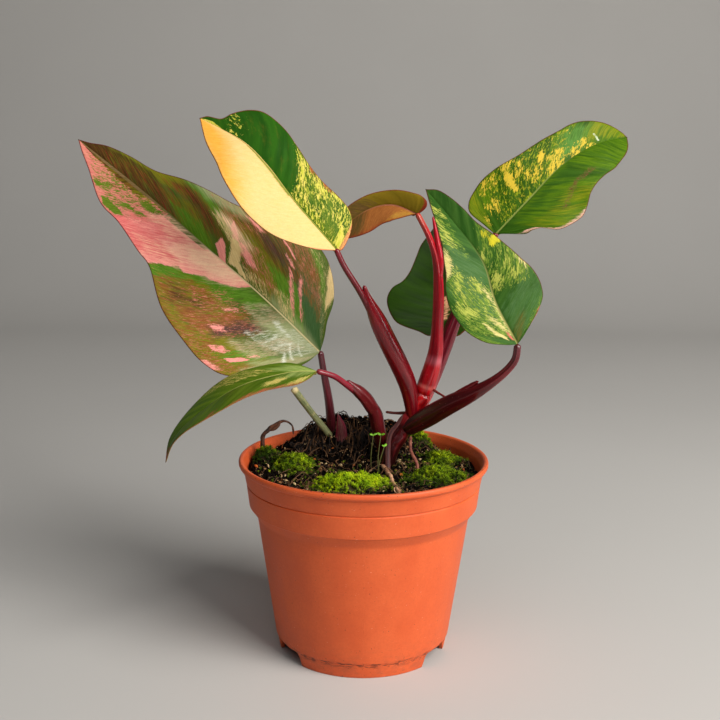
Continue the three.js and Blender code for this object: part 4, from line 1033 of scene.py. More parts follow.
def coverage(s, t, length, wide, lean, patches, ragged):
    """How far inside the nearest patch each point is, in mm, held to what the patch's share allows.

    A half's patches are (share, s0, s1, t0, t1) for a box that leans with the veins, or a share and then
    (s, t) corners. A share under 1 softens the edge and caps the depth at ragged x (2 x share - 1), so
    that the streaks break the patch up.
    """
    best = np.full(s.shape, FAR_OUTSIDE)
    place = np.stack([s * length, np.abs(t) * wide], -1)
    for half, outlines in patches.items():
        on_half = (t > 0) == (half == "right")
        for share, *outline in outlines:
            corners = np.array(outline, float)
            if corners.ndim == 1:
                s0, s1, t0, t1 = outline
                slant = lean[half == "right"] * (1 - (s0 + s1) / 2) * (t1 - t0) / 2
                corners = np.array([[s0 - slant, t0], [s1 - slant, t0], [s1 + slant, t1], [s0 + slant, t1]])
            depth = edge_distance(place, corners * [length, wide])
            if share < 1:
                depth = np.minimum(depth * SOFT_SLOPE, ragged * (2 * share - 1))
            best = np.maximum(best, np.where(on_half, depth, FAR_OUTSIDE))
    return best


def leaf_skin(name, leaf):
    """Green ground with vein stripes, then each layer in turn, markings and painted sheen alike, the midrib,
    margin and underside.

    A layer is (name, two tones, grain across and along the veins in mm, how ragged, how soft, patches).
    It shows where its kept depth plus a noise drawn out along the veins is above nothing.
    """
    look = Look(name, Coat_Weight=0.02, Coat_Roughness=0.25, Specular_IOR_Level=0.04)
    stripes = look.grain(look.stored("vein", 1.1, 22), detail=3, rough=0.6)
    broad = look.grain(look.stored("vein", 5, 26), detail=3, rough=0.55)
    dark, light = leaf["ground"]
    colour = look.mix(look.between(broad, 0.3, 0.7), dark, light)
    colour = look.lay(colour, light, stripes, 0.5, 0.8, 0.3)
    flecks = look.grain(look.stored("vein", 0.8, 3.5), detail=4, rough=0.65)
    for number, (layer, tones, (across, run), ragged, edge, _) in enumerate(leaf["layers"]):
        shift = (number * 7.3, number * 3.1, 0.0)
        coarse, small = (look.grain(look.moved(look.stored("vein", across * size, run * size), shift),
                                    detail=3, rough=0.65) for size in (1, 0.35))
        streak = look.maths("ADD", look.maths("MULTIPLY", coarse, 0.6), look.maths("MULTIPLY", small, 0.4))
        push = look.maths("MULTIPLY", look.maths("SUBTRACT", streak, 0.5), ragged * 6)
        shown = look.between(look.maths("ADD", look.number(layer), push), -edge, edge)
        colour = look.mix(shown, colour, look.mix(look.between(flecks, 0.35, 0.65), *tones))
    fine = look.grain(look.here(0.7, 0.7, 0.7), detail=3, rough=0.6)
    colour = look.lay(colour, (30, 30, 10), fine, 0.4, 0.8, 0.12)
    rib = look.between(look.number("rib"), RIB_HALF_WIDTH, 0.2)
    fading = look.between(look.number("along"), 0.78, 0.4, 0, 0.9)
    colour = look.mix(look.maths("MULTIPLY", rib, fading), colour, leaf["rib"])
    frayed = look.maths("ADD", look.number("edge"), look.between(stripes, 0.3, 0.7, -0.1, 0.1))
    colour = look.lay(colour, leaf["margin"], frayed, 0.55, 0.2, 0.85)
    below = look.mix(look.between(stripes, 0.3, 0.7), *leaf["under"])
    below = look.mix(0.45, below, colour)
    colour = look.mix(look.number("under"), colour, below)
    rough = look.between(broad, 0.3, 0.7, 0.4, 0.52)
    normal = look.relief(stripes, 0.07, 0.6, look.relief(fine, 0.05, 0.5))
    return look.wear(colour, rough, normal)


def both_sides(values, base=0.0, tip=0.0):
    """A blade's values for its face, then mirrored for its underside, then for its two end poles."""
    return np.concatenate([np.concatenate([values, values[:, ::-1]], 1).ravel(), [base, tip]])


def make_leaf(node, **leaf):
    """Builds a leaf as one closed skin: across the face from left to right, then back underneath.

    The faces lie half the thickness off the middle surface, less at the margin. The midrib is a groove
    above and a round rib below, and the side veins are fine channels with soft quilting between them.

    A leaf's margins are (along, out) from its spine in mm. It faces base at its foot and tip at its end.
    Each half, the left one first, rises by its fold and its curl in degrees, and its veins lean forward.
    A wave is its height, how many there are and where they start.
    """
    blade = Blade(leaf)
    s, t, x, y, span = blade.grid()
    reach, half = np.abs(t), (t > 0).astype(float)
    lean = np.where(t > 0, *leaf["lean"][::-1])
    vein = (s - lean * (1 - s) * reach) * blade.length
    out = reach * span
    edge = (1 - reach) * span
    middle, normal = blade.at(x, y), blade.facing(x, y)
    spacing = leaf.get("vein_spacing", 4.6)
    phase = vein / spacing + 0.35 * lumps(vein, half * 50, 9, 3)
    channel = CHANNEL_DEPTH * np.exp(-((phase - np.round(phase)) * spacing / CHANNEL_WIDTH) ** 2)
    quilt = -QUILT_HEIGHT * np.cos(2 * np.pi * phase)
    calm = np.clip(edge / 3, 0, 1) * np.clip(out / 2.5, 0, 1)
    waviness = 0.08 * lumps(vein, out / 3 + half * 90, 7, 5)
    thick = EDGE_THICKNESS + (BLADE_THICKNESS - EDGE_THICKNESS) * np.clip(edge / EDGE_TAPER, 0, 1) ** 0.5
    groove = GROOVE_DEPTH * np.exp(-(np.abs(y) / GROOVE_WIDTH) ** 2)
    sheet = (waviness + quilt) * calm
    top = middle + normal * (thick / 2 + sheet - channel * calm - groove * (1 - 0.6 * s))[..., None]
    rib = (MIDRIB_THICKNESS - (MIDRIB_THICKNESS - BLADE_THICKNESS) * s) - BLADE_THICKNESS
    rib_width = 1.25 - 0.75 * s
    rib = rib * np.sqrt(np.clip(1 - (y / (1.15 * rib_width)) ** 2, 0, 1))
    below = middle + normal * (-thick / 2 + sheet + channel * calm - rib)[..., None]
    rings = np.concatenate([top, below[:, ::-1]], 1)
    base, tip = (blade.at(np.array([at]), np.zeros(1))[0] for at in (-0.3, blade.length + 0.2))
    piece = make_piece(leaf["name"], *closed_skin(rings, base, tip), node, node)
    vein_place = [both_sides(vein, 0, blade.length), both_sides(out), both_sides(half * 40)]
    keep(piece, "vein", np.stack(vein_place, -1))
    keep(piece, "rib", both_sides(np.abs(y)))
    keep(piece, "along", both_sides(s, 0, 1))
    keep(piece, "edge", both_sides(edge, 3, 0))
    under = np.concatenate([np.zeros_like(s), np.ones_like(s)], 1).ravel()
    keep(piece, "under", np.append(under, [0, 0]))
    for layer, _, _, ragged, _, patches in leaf["layers"]:
        depth = coverage(s, t, blade.length, leaf["wide"], leaf["lean"], patches, ragged)
        keep(piece, layer, both_sides(depth, FAR_OUTSIDE, FAR_OUTSIDE))
    piece.data.materials.append(leaf_skin(leaf["name"] + "_skin", leaf))


# The largest leaf: half pink on its left, streaked maroon and green on its right.
make_leaf(
    "leaf_pink", name="blade_pink",
    spine=[[-22, 26, 141], [-50, 27, 168], [-79, 30, 193], [-107, 36, 217], [-143, 46, 244]],
    right=[[3.5, 7], [8, 14], [13, 24.5], [23, 34.5], [34, 39.5], [50, 38.5], [65, 33.5], [80, 27],
           [95, 22.8], [107, 18.5], [120.5, 12], [135, 9.7], [147, 6.7], [155, 2.4]],
    left=[[2.5, 12.7], [12, 31], [25.5, 43], [37, 46], [51, 45], [70, 40.5], [87, 29], [97, 26.5],
          [114, 22.2], [128, 20.2], [145.3, 9.7], [154, 4.6]],
    base=[0.25, -0.85, 0.46], tip=[0.25, -0.85, 0.46], fold=[14, 14], curl=[-10, -10], wide=42,
    wave=[1.4, 2.5, 0.1], lean=(0.36, 0.6), vein_spacing=5.2, ground=((58, 84, 22), (84, 100, 34)),
    rib=(206, 190, 140), margin=(90, 30, 34), under=((120, 110, 90), (150, 120, 100)),
    layers=[
        ("deep", ((50, 84, 40), (66, 98, 52)), (2, 14), 1.4, 1.2, dict(
            right=[(0.9, -0.1, 0.28, -0.1, 0.55)])),
        ("olive", ((103, 105, 13), (126, 118, 24)), (1.6, 8), 1.8, 1.2, dict(
            right=[(0.7, 0.38, 0.54, 0.1, 0.7), (0.85, 0.68, 0.8, 0.65, 1.05), (0.6, 0.64, 0.74, 0.05, 0.5),
                   (0.6, 0.8, 0.98, 0.2, 1.05)],
            left=[(0.8, 0.18, 0.44, 0.55, 1.05), (0.7, 0.42, 0.6, 0.35, 1.05),
                  (0.8, 0.76, 0.98, -0.1, 0.35)])),
        ("rust", ((124, 72, 29), (142, 90, 40)), (1.4, 6), 2.2, 1.2, dict(
            right=[(0.46, 0.28, 0.5, 0.4, 1.0), (0.5, 0.49, 0.58, 0.62, 0.95)],
            left=[(0.7, 0.37, 0.45, 0.3, 0.85), (0.45, 0.28, 0.5, 0.75, 1.05), (0.5, 0.48, 0.57, 0.45, 1.0),
                  (0.5, 0.84, 0.98, 0.1, 0.5)])),
        ("umber", ((58, 37, 13), (80, 50, 21)), (1.4, 9), 2.2, 2.0, dict(
            right=[(0.85, (0.59, 0.3), (0.625, 0.3), (0.66, 0.5), (0.72, 0.8), (0.69, 0.85), (0.64, 0.62)),
                   (0.68, 0.76, 1.0, -0.1, 0.85), (0.9, 0.9, 1.1, -0.1, 1.1), (0.4, 0.38, 0.46, 0.4, 0.75)],
            left=[(0.9, 0.94, 1.1, -0.1, 0.5), (0.6, 0.82, 0.97, -0.1, 0.22),
                  (0.9, (0.47, 0.58), (0.48, 0.56), (0.525, 0.78), (0.515, 0.82))])),
        ("crimson", ((122, 34, 20), (142, 54, 40)), (0.7, 5), 1.8, 0.8, dict(
            right=[(0.36, 0.71, 0.79, 0.02, 0.6), (0.36, 0.61, 0.7, 0.3, 0.8),
                   (0.3, 0.84, 0.92, 0.1, 0.6)])),
        ("leafy", ((69, 113, 18), (94, 135, 34)), (1.2, 7), 1.4, 0.7, dict(
            right=[(0.95, 0.575, 0.62, 0.35, 0.95), (0.7, 0.6, 0.7, -0.1, 0.3),
                   (0.7, 0.22, 0.34, -0.1, 0.35), (0.85, 0.255, 0.3, 0.6, 0.98)],
            left=[(0.9, 0.37, 0.46, 0.03, 0.2), (0.8, 0.43, 0.51, 0.12, 0.36), (0.6, 0.24, 0.3, 0.5, 0.8),
                  (0.95, (0.5, 0.26), (0.54, 0.34), (0.57, 0.55), (0.6, 0.7), (0.615, 1.05), (0.575, 1.05),
                   (0.565, 0.75), (0.54, 0.5), (0.505, 0.36))])),
        ("smudge", ((64, 42, 38), (92, 62, 52)), (1.4, 6), 1.2, 1.3, dict(
            left=[(0.95, (0.3, 0.24), (0.345, 0.26), (0.375, 0.42), (0.4, 0.66), (0.375, 0.68),
                   (0.345, 0.5), (0.31, 0.38))],
            right=[(0.7, 0.415, 0.445, 0.48, 0.68)])),
        # The pale layer is painted sheen: the grey-green highlight near the right margin and the silvery
        # gloss at the base.
        ("pale", ((150, 160, 108), (170, 172, 128)), (1.2, 8), 1.0, 2.2, dict(
            right=[(0.75, 0.54, 0.66, 0.85, 1.1), (0.6, -0.05, 0.32, -0.1, 0.04)],
            left=[(0.85, -0.05, 0.28, -0.1, 0.22), (0.66, -0.05, 0.15, 0.2, 0.7)])),
        ("dashes", ((172, 92, 74), (206, 124, 104)), (0.6, 2.4), 2.0, 0.5, dict(
            left=[(0.3, (0.33, 0.28), (0.4, 0.28), (0.445, 0.5), (0.45, 0.75), (0.4, 0.78), (0.35, 0.5)),
                  (0.34, 0.24, 0.42, 0.88, 1.05), (0.36, 0.44, 0.49, 0.3, 0.56),
                  (0.2, 0.44, 0.56, 0.6, 1.0)],
            right=[(0.36, 0.28, 0.36, 0.5, 0.85), (0.4, 0.42, 0.51, 0.12, 0.42),
                   (0.3, 0.5, 0.58, 0.7, 0.95)])),
        ("pink", ((227, 131, 123), (240, 159, 145)), (1.2, 2.0), 0.55, 0.25, dict(
            left=[(1, (0.43, -0.05), (0.46, 0.12), (0.49, 0.2), (0.52, 0.3), (0.535, 0.32), (0.55, 0.43),
                   (0.565, 0.55), (0.585, 0.57), (0.59, 0.7), (0.6, 0.8), (0.61, 1.05), (0.755, 1.05),
                   (0.75, 0.75), (0.745, 0.5), (0.75, 0.4), (0.735, 0.14), (0.66, 0.09), (0.61, 0.06),
                   (0.58, -0.05)),
                  (0.9, 0.41, 0.42, 0.3, 0.4), (1, 0.272, 0.294, 0.67, 0.8), (0.95, 0.25, 0.26, 0.57, 0.63),
                  (0.75, 0.325, 0.35, 0.7, 0.8), (0.95, 0.38, 0.4, 0.55, 0.64),
                  (0.7, 0.3, 0.34, 0.94, 1.05), (0.95, 0.805, 0.83, 0.36, 0.58),
                  (1, 0.885, 0.907, 0.42, 0.64)],
            right=[(0.62, (0.22, 0.12), (0.24, 0.14), (0.3, 0.34), (0.317, 0.48), (0.305, 0.46),
                    (0.28, 0.3)),
                   (0.62, (0.26, 0.08), (0.3, 0.16), (0.335, 0.3), (0.36, 0.47), (0.345, 0.44),
                    (0.32, 0.3)),
                   (1, 0.376, 0.386, 0.6, 0.76), (0.9, 0.36, 0.37, 0.5, 0.58),
                   (0.7, 0.48, 0.495, 0.7, 0.85), (0.75, 0.475, 0.51, 0.2, 0.4),
                   (1, (0.54, 0), (0.56, 0), (0.587, 0.15), (0.575, 0.33), (0.56, 0.24), (0.55, 0.12)),
                   (1, (0.525, 0.4), (0.535, 0.55), (0.552, 0.7), (0.558, 0.56), (0.542, 0.38))])),
        ("net", ((200, 108, 98), (212, 134, 116)), (1.1, 1.7), 1.5, 0.3, dict(
            left=[(0.72, 0.735, 0.86, 0.22, 1.05), (0.5, 0.73, 0.8, 0.06, 0.3),
                  (0.85, 0.79, 0.84, 0.3, 0.65), (0.8, 0.82, 0.93, 0.7, 1.05), (0.5, 0.84, 0.93, 0.25, 0.8),
                  (0.8, 0.86, 1.02, 0.3, 1.1)])),
        ("shell", ((254, 214, 173), (247, 193, 162)), (1.4, 8), 1.8, 2.0, dict(
            left=[(0.9, (0.46, -0.05), (0.49, 0.14), (0.54, 0.28), (0.58, 0.4), (0.63, 0.3), (0.6, -0.05)),
                  (0.6, (0.6, 0.15), (0.63, 0.15), (0.64, 0.6), (0.61, 0.6)), (0.5, 0.63, 0.68, 0.5, 1.05),
                  (0.5, 0.66, 0.72, 0.05, 0.3)],
            right=[(0.6, 0.53, 0.56, 0.4, 0.65)])),
        ("rose", ((214, 96, 96), (226, 112, 108)), (1.2, 7), 1.6, 1.3, dict(
            left=[(0.6, 0.63, 0.74, 0.55, 1.05), (0.45, 0.67, 0.73, 0.2, 0.6),
                  (0.75, 0.64, 0.74, 0.86, 1.05), (0.8, 0.675, 0.7, 0.4, 0.52)])),
        ("cream", ((222, 198, 140), (200, 170, 112)), (0.7, 2.5), 1.0, 0.3, dict(
            right=[(0.92, (0.158, 0.6), (0.18, 0.62), (0.205, 0.75), (0.225, 0.8), (0.25, 1.05),
                    (0.155, 1.05)),
                   (0.3, 0.19, 0.25, 0.55, 0.9), (0.3, 0.05, 0.17, 0.35, 0.6),
                   (1, (0.45, 0), (0.48, 0.08), (0.505, 0.15), (0.51, 0.3), (0.53, 0.42), (0.55, 0.4),
                    (0.54, 0.2), (0.535, 0.04), (0.51, 0.06), (0.48, 0.02)),
                   (0.45, 0.26, 0.32, -0.05, 0.16), (0.4, 0.38, 0.47, -0.05, 0.12),
                   (0.5, 0.545, 0.575, 0.3, 0.6)])),
        ("flakes", ((196, 160, 130), (178, 174, 138)), (0.9, 3.4), 0.8, 0.9, dict(
            left=[(0.42, 0.19, 0.28, 0.2, 0.6), (0.36, 0.3, 0.38, 0.04, 0.2),
                  (0.36, 0.08, 0.19, 0.5, 0.85)])),
        ("white", ((222, 224, 206), (200, 202, 180)), (0.45, 5), 0.7, 0.35, dict(
            left=[(0.66, (0.147, 0.62), (0.158, 0.62), (0.185, 0.4), (0.178, 0.4)),
                  (0.56, (0.125, 0.55), (0.131, 0.55), (0.193, 0.24), (0.188, 0.23)),
                  (0.6, (0.178, 0.18), (0.194, 0.2), (0.225, 0.33), (0.218, 0.33)),
                  (0.5, (0.2, 0.14), (0.29, 0.1), (0.3, 0.12), (0.21, 0.16)),
                  (0.52, (0.248, 0.24), (0.257, 0.23), (0.269, 0.35), (0.264, 0.35)),
                  (0.5, (0.1, 0.42), (0.106, 0.43), (0.169, 0.16), (0.164, 0.15)),
                  (0.35, 0.06, 0.28, 0.05, 0.4)])),
        ("spill", ((96, 82, 42), (128, 98, 68)), (1.4, 5), 0.35, 0.35, dict(
            left=[(1, (0.56, -0.1), (0.6, -0.02), (0.66, 0), (0.735, 0.02), (0.8, 0.07), (0.87, 0.1),
                   (0.93, 0.16), (1, 0.25), (1.1, 0.25), (1.1, -0.1))])),
        ("patch", ((76, 104, 18), (104, 124, 34)), (1.1, 2.2), 1.1, 0.3, dict(
            left=[(1, (0.757, 0.78), (0.78, 0.74), (0.815, 0.78), (0.825, 0.9), (0.8, 0.96), (0.76, 0.92)),
                  (0.85, 0.745, 0.79, 0.12, 0.3), (0.9, 0.745, 0.765, 0.42, 0.55),
                  (0.85, 0.77, 0.8, 0.48, 0.66), (0.8, 0.845, 0.87, 0.6, 0.95),
                  (0.45, 0.78, 0.9, 0.25, 0.8), (0.36, 0.9, 0.95, 0.25, 0.6)])),
    ])
# Split down its midrib: cream-yellow on the left, green and speckled on the right.
make_leaf(
    "leaf_half_yellow", name="blade_half_yellow",
    spine=[[-13, -8, 195], [-33, -8, 218], [-45, -5, 233], [-57, 0, 244], [-77, 8, 254]],
    right=[[-1.3, 2.5], [1.6, 9.7], [5.7, 15.1], [11, 17.6], [18, 17.6], [28.6, 16], [40.4, 15.9], [49, 17],
           [56.4, 18.1], [63.3, 18.2], [68.3, 17.5], [72.4, 15], [75.7, 12], [78.7, 8.6], [81.5, 4.4],
           [87.9, 2.6]],
    left=[[6.7, 8.2], [16.4, 15.6], [25.2, 20.3], [33.5, 22.7], [40.7, 23.8], [50.1, 23.2], [63.3, 19.2],
          [77.8, 12.1]],
    base=[0.2, -0.85, 0.48], tip=[0.2, -0.85, 0.48], fold=[14, 14], curl=[-6, -8], wide=21,
    wave=[0.8, 2, 0.2], lean=(0.2, 0.2), ground=((27, 70, 7), (42, 90, 14)), rib=(115, 129, 36),
    margin=(120, 52, 36), under=((144, 148, 83), (164, 157, 92)),
    layers=[
        ("mottle", ((40, 78, 10), (84, 108, 18)), (1.3, 2.0), 1.3, 0.35, dict(
            right=[(0.75, (0, 0), (0.49, 0), (0.495, 0.3), (0.515, 0.55), (0.53, 0.65), (0.55, 0.8),
                    (0.555, 1.05), (0, 1.05))])),
        ("yellow", ((220, 200, 97), (181, 185, 53)), (1.5, 2.3), 1.9, 0.35, dict(
            right=[(0.44, (0, 0), (0.485, 0), (0.49, 0.3), (0.51, 0.55), (0.525, 0.65), (0.545, 0.8),
                    (0.55, 1.05), (0, 1.05)),
                   (1, 0.03, 0.16, 0.1, 0.55), (0.85, 0.33, 0.42, 0.7, 0.9), (0.9, 0.42, 0.46, 0.2, 0.35),
                   (0.75, 0.47, 0.52, 0.45, 0.9), (0.34, 0.849, 0.859, 0.45, 0.9),
                   (0.36, 0.845, 0.86, 0, 0.1), (1, (0.905, 0), (0.945, 0.35), (1.02, 0.35), (1.02, 0))])),
        ("moss", ((67, 99, 23), (100, 120, 29)), (1.0, 2.6), 1.0, 0.35, dict(
            right=[(0.65, 0.15, 0.3, 0.1, 0.4), (0.7, 0.28, 0.31, 0.45, 0.7), (0.7, 0.36, 0.42, 0.3, 0.45),
                   (0.7, 0.4, 0.47, 0.6, 0.7)])),
        ("cream", ((238, 192, 129), (236, 185, 115)), (3.0, 7.8), 0.3, 0.3, dict(
            left=[(1, -0.2, 1.2, -0.2, 1.2)])),
        ("amber", ((231, 170, 70), (225, 159, 58)), (3.5, 9), 1.6, 6, dict(
            left=[(1, (0.42, 1.1), (0.55, 0.75), (0.75, 0.6), (0.86, 0.3), (0.97, 0.05), (1.1, 0),
                   (1.1, 1.1))])),
        ("blush", ((227, 148, 103), (222, 135, 88)), (2.5, 17.5), 1.2, 1.2, dict(
            left=[(1, -0.1, 0.06, -0.1, 1.1)],
            right=[(0.7, -0.1, 0.05, -0.1, 1.1)])),
        ("burn", ((144, 59, 32), (170, 83, 44)), (1.2, 8.4), 0.9, 0.4, dict(
            right=[(0.42, 0.32, 0.46, 0.93, 1.05)])),
        ("midline", ((108, 122, 42), (137, 140, 57)), (1.5, 10.5), 0.3, 0.5, dict(
            left=[(1, 0.08, 0.9, -0.1, 0.02), (1, 0.5, 0.78, -0.1, 0.045)])),
    ])
# The newest leaf, narrow and still bronze.
make_leaf(
    "leaf_young", name="blade_young",
    spine=[[24, 3, 211], [13, 5, 215], [2, 7, 213], [-10, 7, 205], [-19, 6, 196]],
    right=[[-2, 2.6], [-3, 5.5], [-1.6, 8], [2.3, 9.1], [6.9, 8.5], [15, 7.2], [24, 7], [33, 6.5], [42, 4]],
    left=[[1.8, 0.8], [5.9, 5.7], [11.1, 8.7], [19.2, 10], [27, 10.8], [33, 10], [39, 7.6], [45, 4]],
    base=[0, -1, 0.3], tip=[-0.3, -1, 0.1], fold=[30, 38], curl=[-10, -10], wide=11, wave=[0, 1, 0],
    lean=(0.2, 0.2), vein_spacing=2.8, ground=((110, 94, 19), (132, 110, 26)), rib=(177, 108, 83),
    margin=(112, 40, 26), under=((135, 81, 53), (154, 99, 63)),
    layers=[
        ("bronze", ((145, 86, 41), (161, 99, 48)), (1.6, 11.2), 1.2, 1.0, dict(
            left=[(1, -0.1, 1.1, -0.1, 1.1)])),
        ("gold", ((170, 117, 44), (179, 130, 53)), (1.4, 3.6), 1.2, 0.8, dict(
            left=[(0.8, 0.13, 0.28, 0.1, 0.9)])),
        ("dusk", ((86, 68, 30), (101, 75, 39)), (1.6, 11.2), 1.2, 1.2, dict(
            left=[(0.9, 0.65, 1.1, -0.1, 1.1)],
            right=[(0.9, 0.58, 1.1, -0.1, 1.1)])),
        ("ember", ((138, 54, 30), (124, 44, 26)), (1.2, 8.4), 0.8, 0.8, dict(
            left=[(1, -0.1, 0.08, -0.1, 1.1), (0.7, 0, 0.9, 0.92, 1.1)],
            right=[(1, -0.1, 0.07, -0.1, 1.1)])),
    ])
# A leaf in the shade behind the red stalks, its green partly its own dark green and partly painted shade.
make_leaf(
    "leaf_shaded", name="blade_shaded",
    spine=[[38, 28, 153], [37, 40, 171], [37, 50, 187], [38, 58, 204]],
    right=[[-4.3, 2.9], [-4.9, 8.3], [-2.2, 12.4], [1, 18], [6, 22.5], [13, 23], [20, 20], [27, 16],
           [38, 11], [49, 6]],
    left=[[-4.2, 5.7], [-1.8, 11.7], [0.1, 17.7], [2.6, 22.6], [7.3, 25.4], [12.8, 26.6], [17.4, 25.9],
          [21.7, 23.1], [25.2, 18], [30.8, 14.1], [38.7, 11], [45.5, 8.6], [52, 4.6]],
    base=[0, -0.75, 0.66], tip=[0, -0.8, 0.6], fold=[10, 10], curl=[0, 0], wide=25, wave=[0.6, 2, 0],
    # Its ground is darker than the other leaves' greens: painted shade over its own dark green.
    lean=(0.3, 0.3), ground=((26, 50, 4), (40, 68, 8)), rib=(70, 88, 30), margin=(96, 40, 30),
    under=((84, 100, 50), (100, 116, 60)),
    layers=[
        ("salmon", ((222, 176, 128), (208, 140, 104)), (1.1, 7.7), 0.9, 0.4, dict(
            right=[(0.85, 0.2, 0.44, 0.1, 0.19)])),
    ])
# Green with cream and yellow brush marks and a painted grey sheen, in front on the right.
make_leaf(
    "leaf_front", name="blade_front",
    spine=[[68, -30, 156], [58, -28, 174], [52, -25, 192], [40, -19, 208], [27, -8, 223]],
    right=[[1.7, 3.6], [5.5, 10.3], [9, 15.9], [14.6, 20.5], [24.6, 21.4], [31.4, 19.8], [36.4, 16],
           [41.5, 12.8], [48, 10.3], [55.9, 7.9], [64.8, 7.2], [72.8, 6], [79.3, 4]],
    left=[[2.2, 4.7], [7.8, 12.4], [15.2, 17.6], [21.2, 19.6], [26.5, 20.6], [37, 19.7], [48.6, 16],
          [56.5, 11.5], [66.1, 7.2], [74.7, 3.8]],
    base=[-0.1, -0.85, 0.46], tip=[-0.1, -0.85, 0.46], fold=[16, 14], curl=[-8, -8], wide=21,
    wave=[0.8, 2.5, 0.3], lean=(0.45, 0.3), ground=((35, 73, 20), (62, 99, 36)), rib=(140, 138, 78),
    margin=(84, 34, 30), under=((94, 117, 59), (110, 130, 72)),
    layers=[
        # This layer is a painted grey sheen across the middle of both halves.
        ("painted_sheen", ((66, 102, 52), (82, 114, 66)), (2.4, 8), 1.4, 1.6, dict(
            left=[(0.8, 0.36, 0.68, 0.1, 0.85)],
            right=[(0.62, 0.12, 0.42, 0.15, 0.95)])),
        ("mottle", ((92, 124, 36), (122, 144, 54)), (1.3, 2.4), 1.7, 0.4, dict(
            left=[(0.5, (0.15, 0.08), (0.4, 0), (0.47, 0.12), (0.5, 0.3), (0.45, 0.5), (0.55, 0.7),
                   (0.5, 0.9), (0.38, 0.75), (0.33, 0.85), (0.25, 0.75), (0.2, 0.4)),
                  (0.55, 0.12, 0.22, 0.75, 0.98), (0.42, 0.69, 0.82, 0.35, 1)],
            right=[(0.48, (0.455, 0.98), (0.44, 0.7), (0.45, 0.5), (0.465, 0.3), (0.46, 0.08), (0.56, 0.05),
                    (0.54, 0.3), (0.57, 0.5), (0.58, 0.8), (0.56, 0.98)),
                   (0.5, 0.63, 0.665, 0.1, 0.9), (0.42, 0.12, 0.2, 0.6, 0.95)])),
        ("yellow", ((185, 185, 86), (159, 170, 72)), (1.3, 2.4), 1.7, 0.35, dict(
            left=[(0.28, (0.15, 0.1), (0.4, 0), (0.46, 0.12), (0.48, 0.3), (0.45, 0.5), (0.53, 0.7),
                   (0.38, 0.6), (0.33, 0.8), (0.25, 0.7), (0.2, 0.4)),
                  (0.85, (0.34, 0.42), (0.36, 0.45), (0.365, 0.6), (0.375, 0.75), (0.345, 0.76),
                   (0.335, 0.6)),
                  (0.8, 0.42, 0.44, 0.6, 0.72), (0.9, 0.462, 0.48, 0.64, 0.76),
                  (0.6, 0.52, 0.55, 0.6, 0.75), (0.6, 0.48, 0.505, 0.22, 0.38),
                  (0.7, 0.862, 0.885, 0.25, 0.9), (0.42, 0.72, 0.8, 0.6, 1)],
            right=[(0.28, (0.455, 0.95), (0.45, 0.5), (0.47, 0.1), (0.55, 0.1), (0.56, 0.8)),
                   (0.9, (0.455, 0.58), (0.475, 0.56), (0.49, 0.72), (0.465, 0.8)),
                   (0.95, (0.505, 0.6), (0.52, 0.56), (0.53, 0.7), (0.515, 0.78)),
                   (0.7, (0.47, 0.1), (0.52, 0.1), (0.53, 0.25), (0.5, 0.32), (0.475, 0.25)),
                   (0.85, (0.62, 0.14), (0.635, 0.08), (0.645, 0.2), (0.632, 0.24))])),
        ("lemon", ((210, 196, 44), (192, 186, 50)), (1.0, 2.5), 0.9, 0.35, dict(
            right=[(1, (0.575, 1.05), (0.585, 0.9), (0.6, 0.75), (0.61, 0.6), (0.625, 0.6), (0.632, 0.8),
                    (0.62, 0.95), (0.605, 1.05)),
                   (0.95, (0.64, 0.95), (0.65, 0.72), (0.662, 0.64), (0.668, 0.75), (0.655, 0.88))])),
        ("cream", ((212, 198, 130), (196, 182, 108)), (0.8, 2.2), 0.9, 0.3, dict(
            left=[(1, (0.1, 0.28), (0.14, 0.23), (0.18, 0.25), (0.22, 0.33), (0.28, 0.38), (0.295, 0.45),
                   (0.24, 0.42), (0.19, 0.42), (0.16, 0.34)),
                  (0.95, (0.17, 0.06), (0.24, 0.09), (0.3, 0.17), (0.325, 0.27), (0.28, 0.23),
                   (0.24, 0.16)),
                  (0.85, 0.15, 0.42, -0.05, 0.035),
                  (0.75, (0.42, 0.03), (0.45, 0.08), (0.475, 0.15), (0.48, 0.2), (0.455, 0.13),
                   (0.42, 0.08)),
                  (0.78, (0.5, 0.98), (0.55, 0.88), (0.6, 0.8), (0.63, 0.8), (0.66, 0.88), (0.68, 1.05),
                   (0.5, 1.05))],
            right=[(0.9, (0.455, 0.93), (0.5, 0.93), (0.49, 1.05), (0.46, 1.05))])),
        ("olive", ((88, 80, 26), (104, 90, 34)), (1.5, 8), 1.2, 1.4, dict(
            right=[(0.5, 0.07, 0.2, 0.15, 0.35)])),
        ("blush", ((190, 92, 76), (198, 116, 94)), (1.2, 8.4), 0.7, 0.4, dict(
            left=[(1, 0.09, 0.19, 0.07, 0.14)],
            right=[(0.7, 0.13, 0.2, 0.95, 1.05)])),
    ])
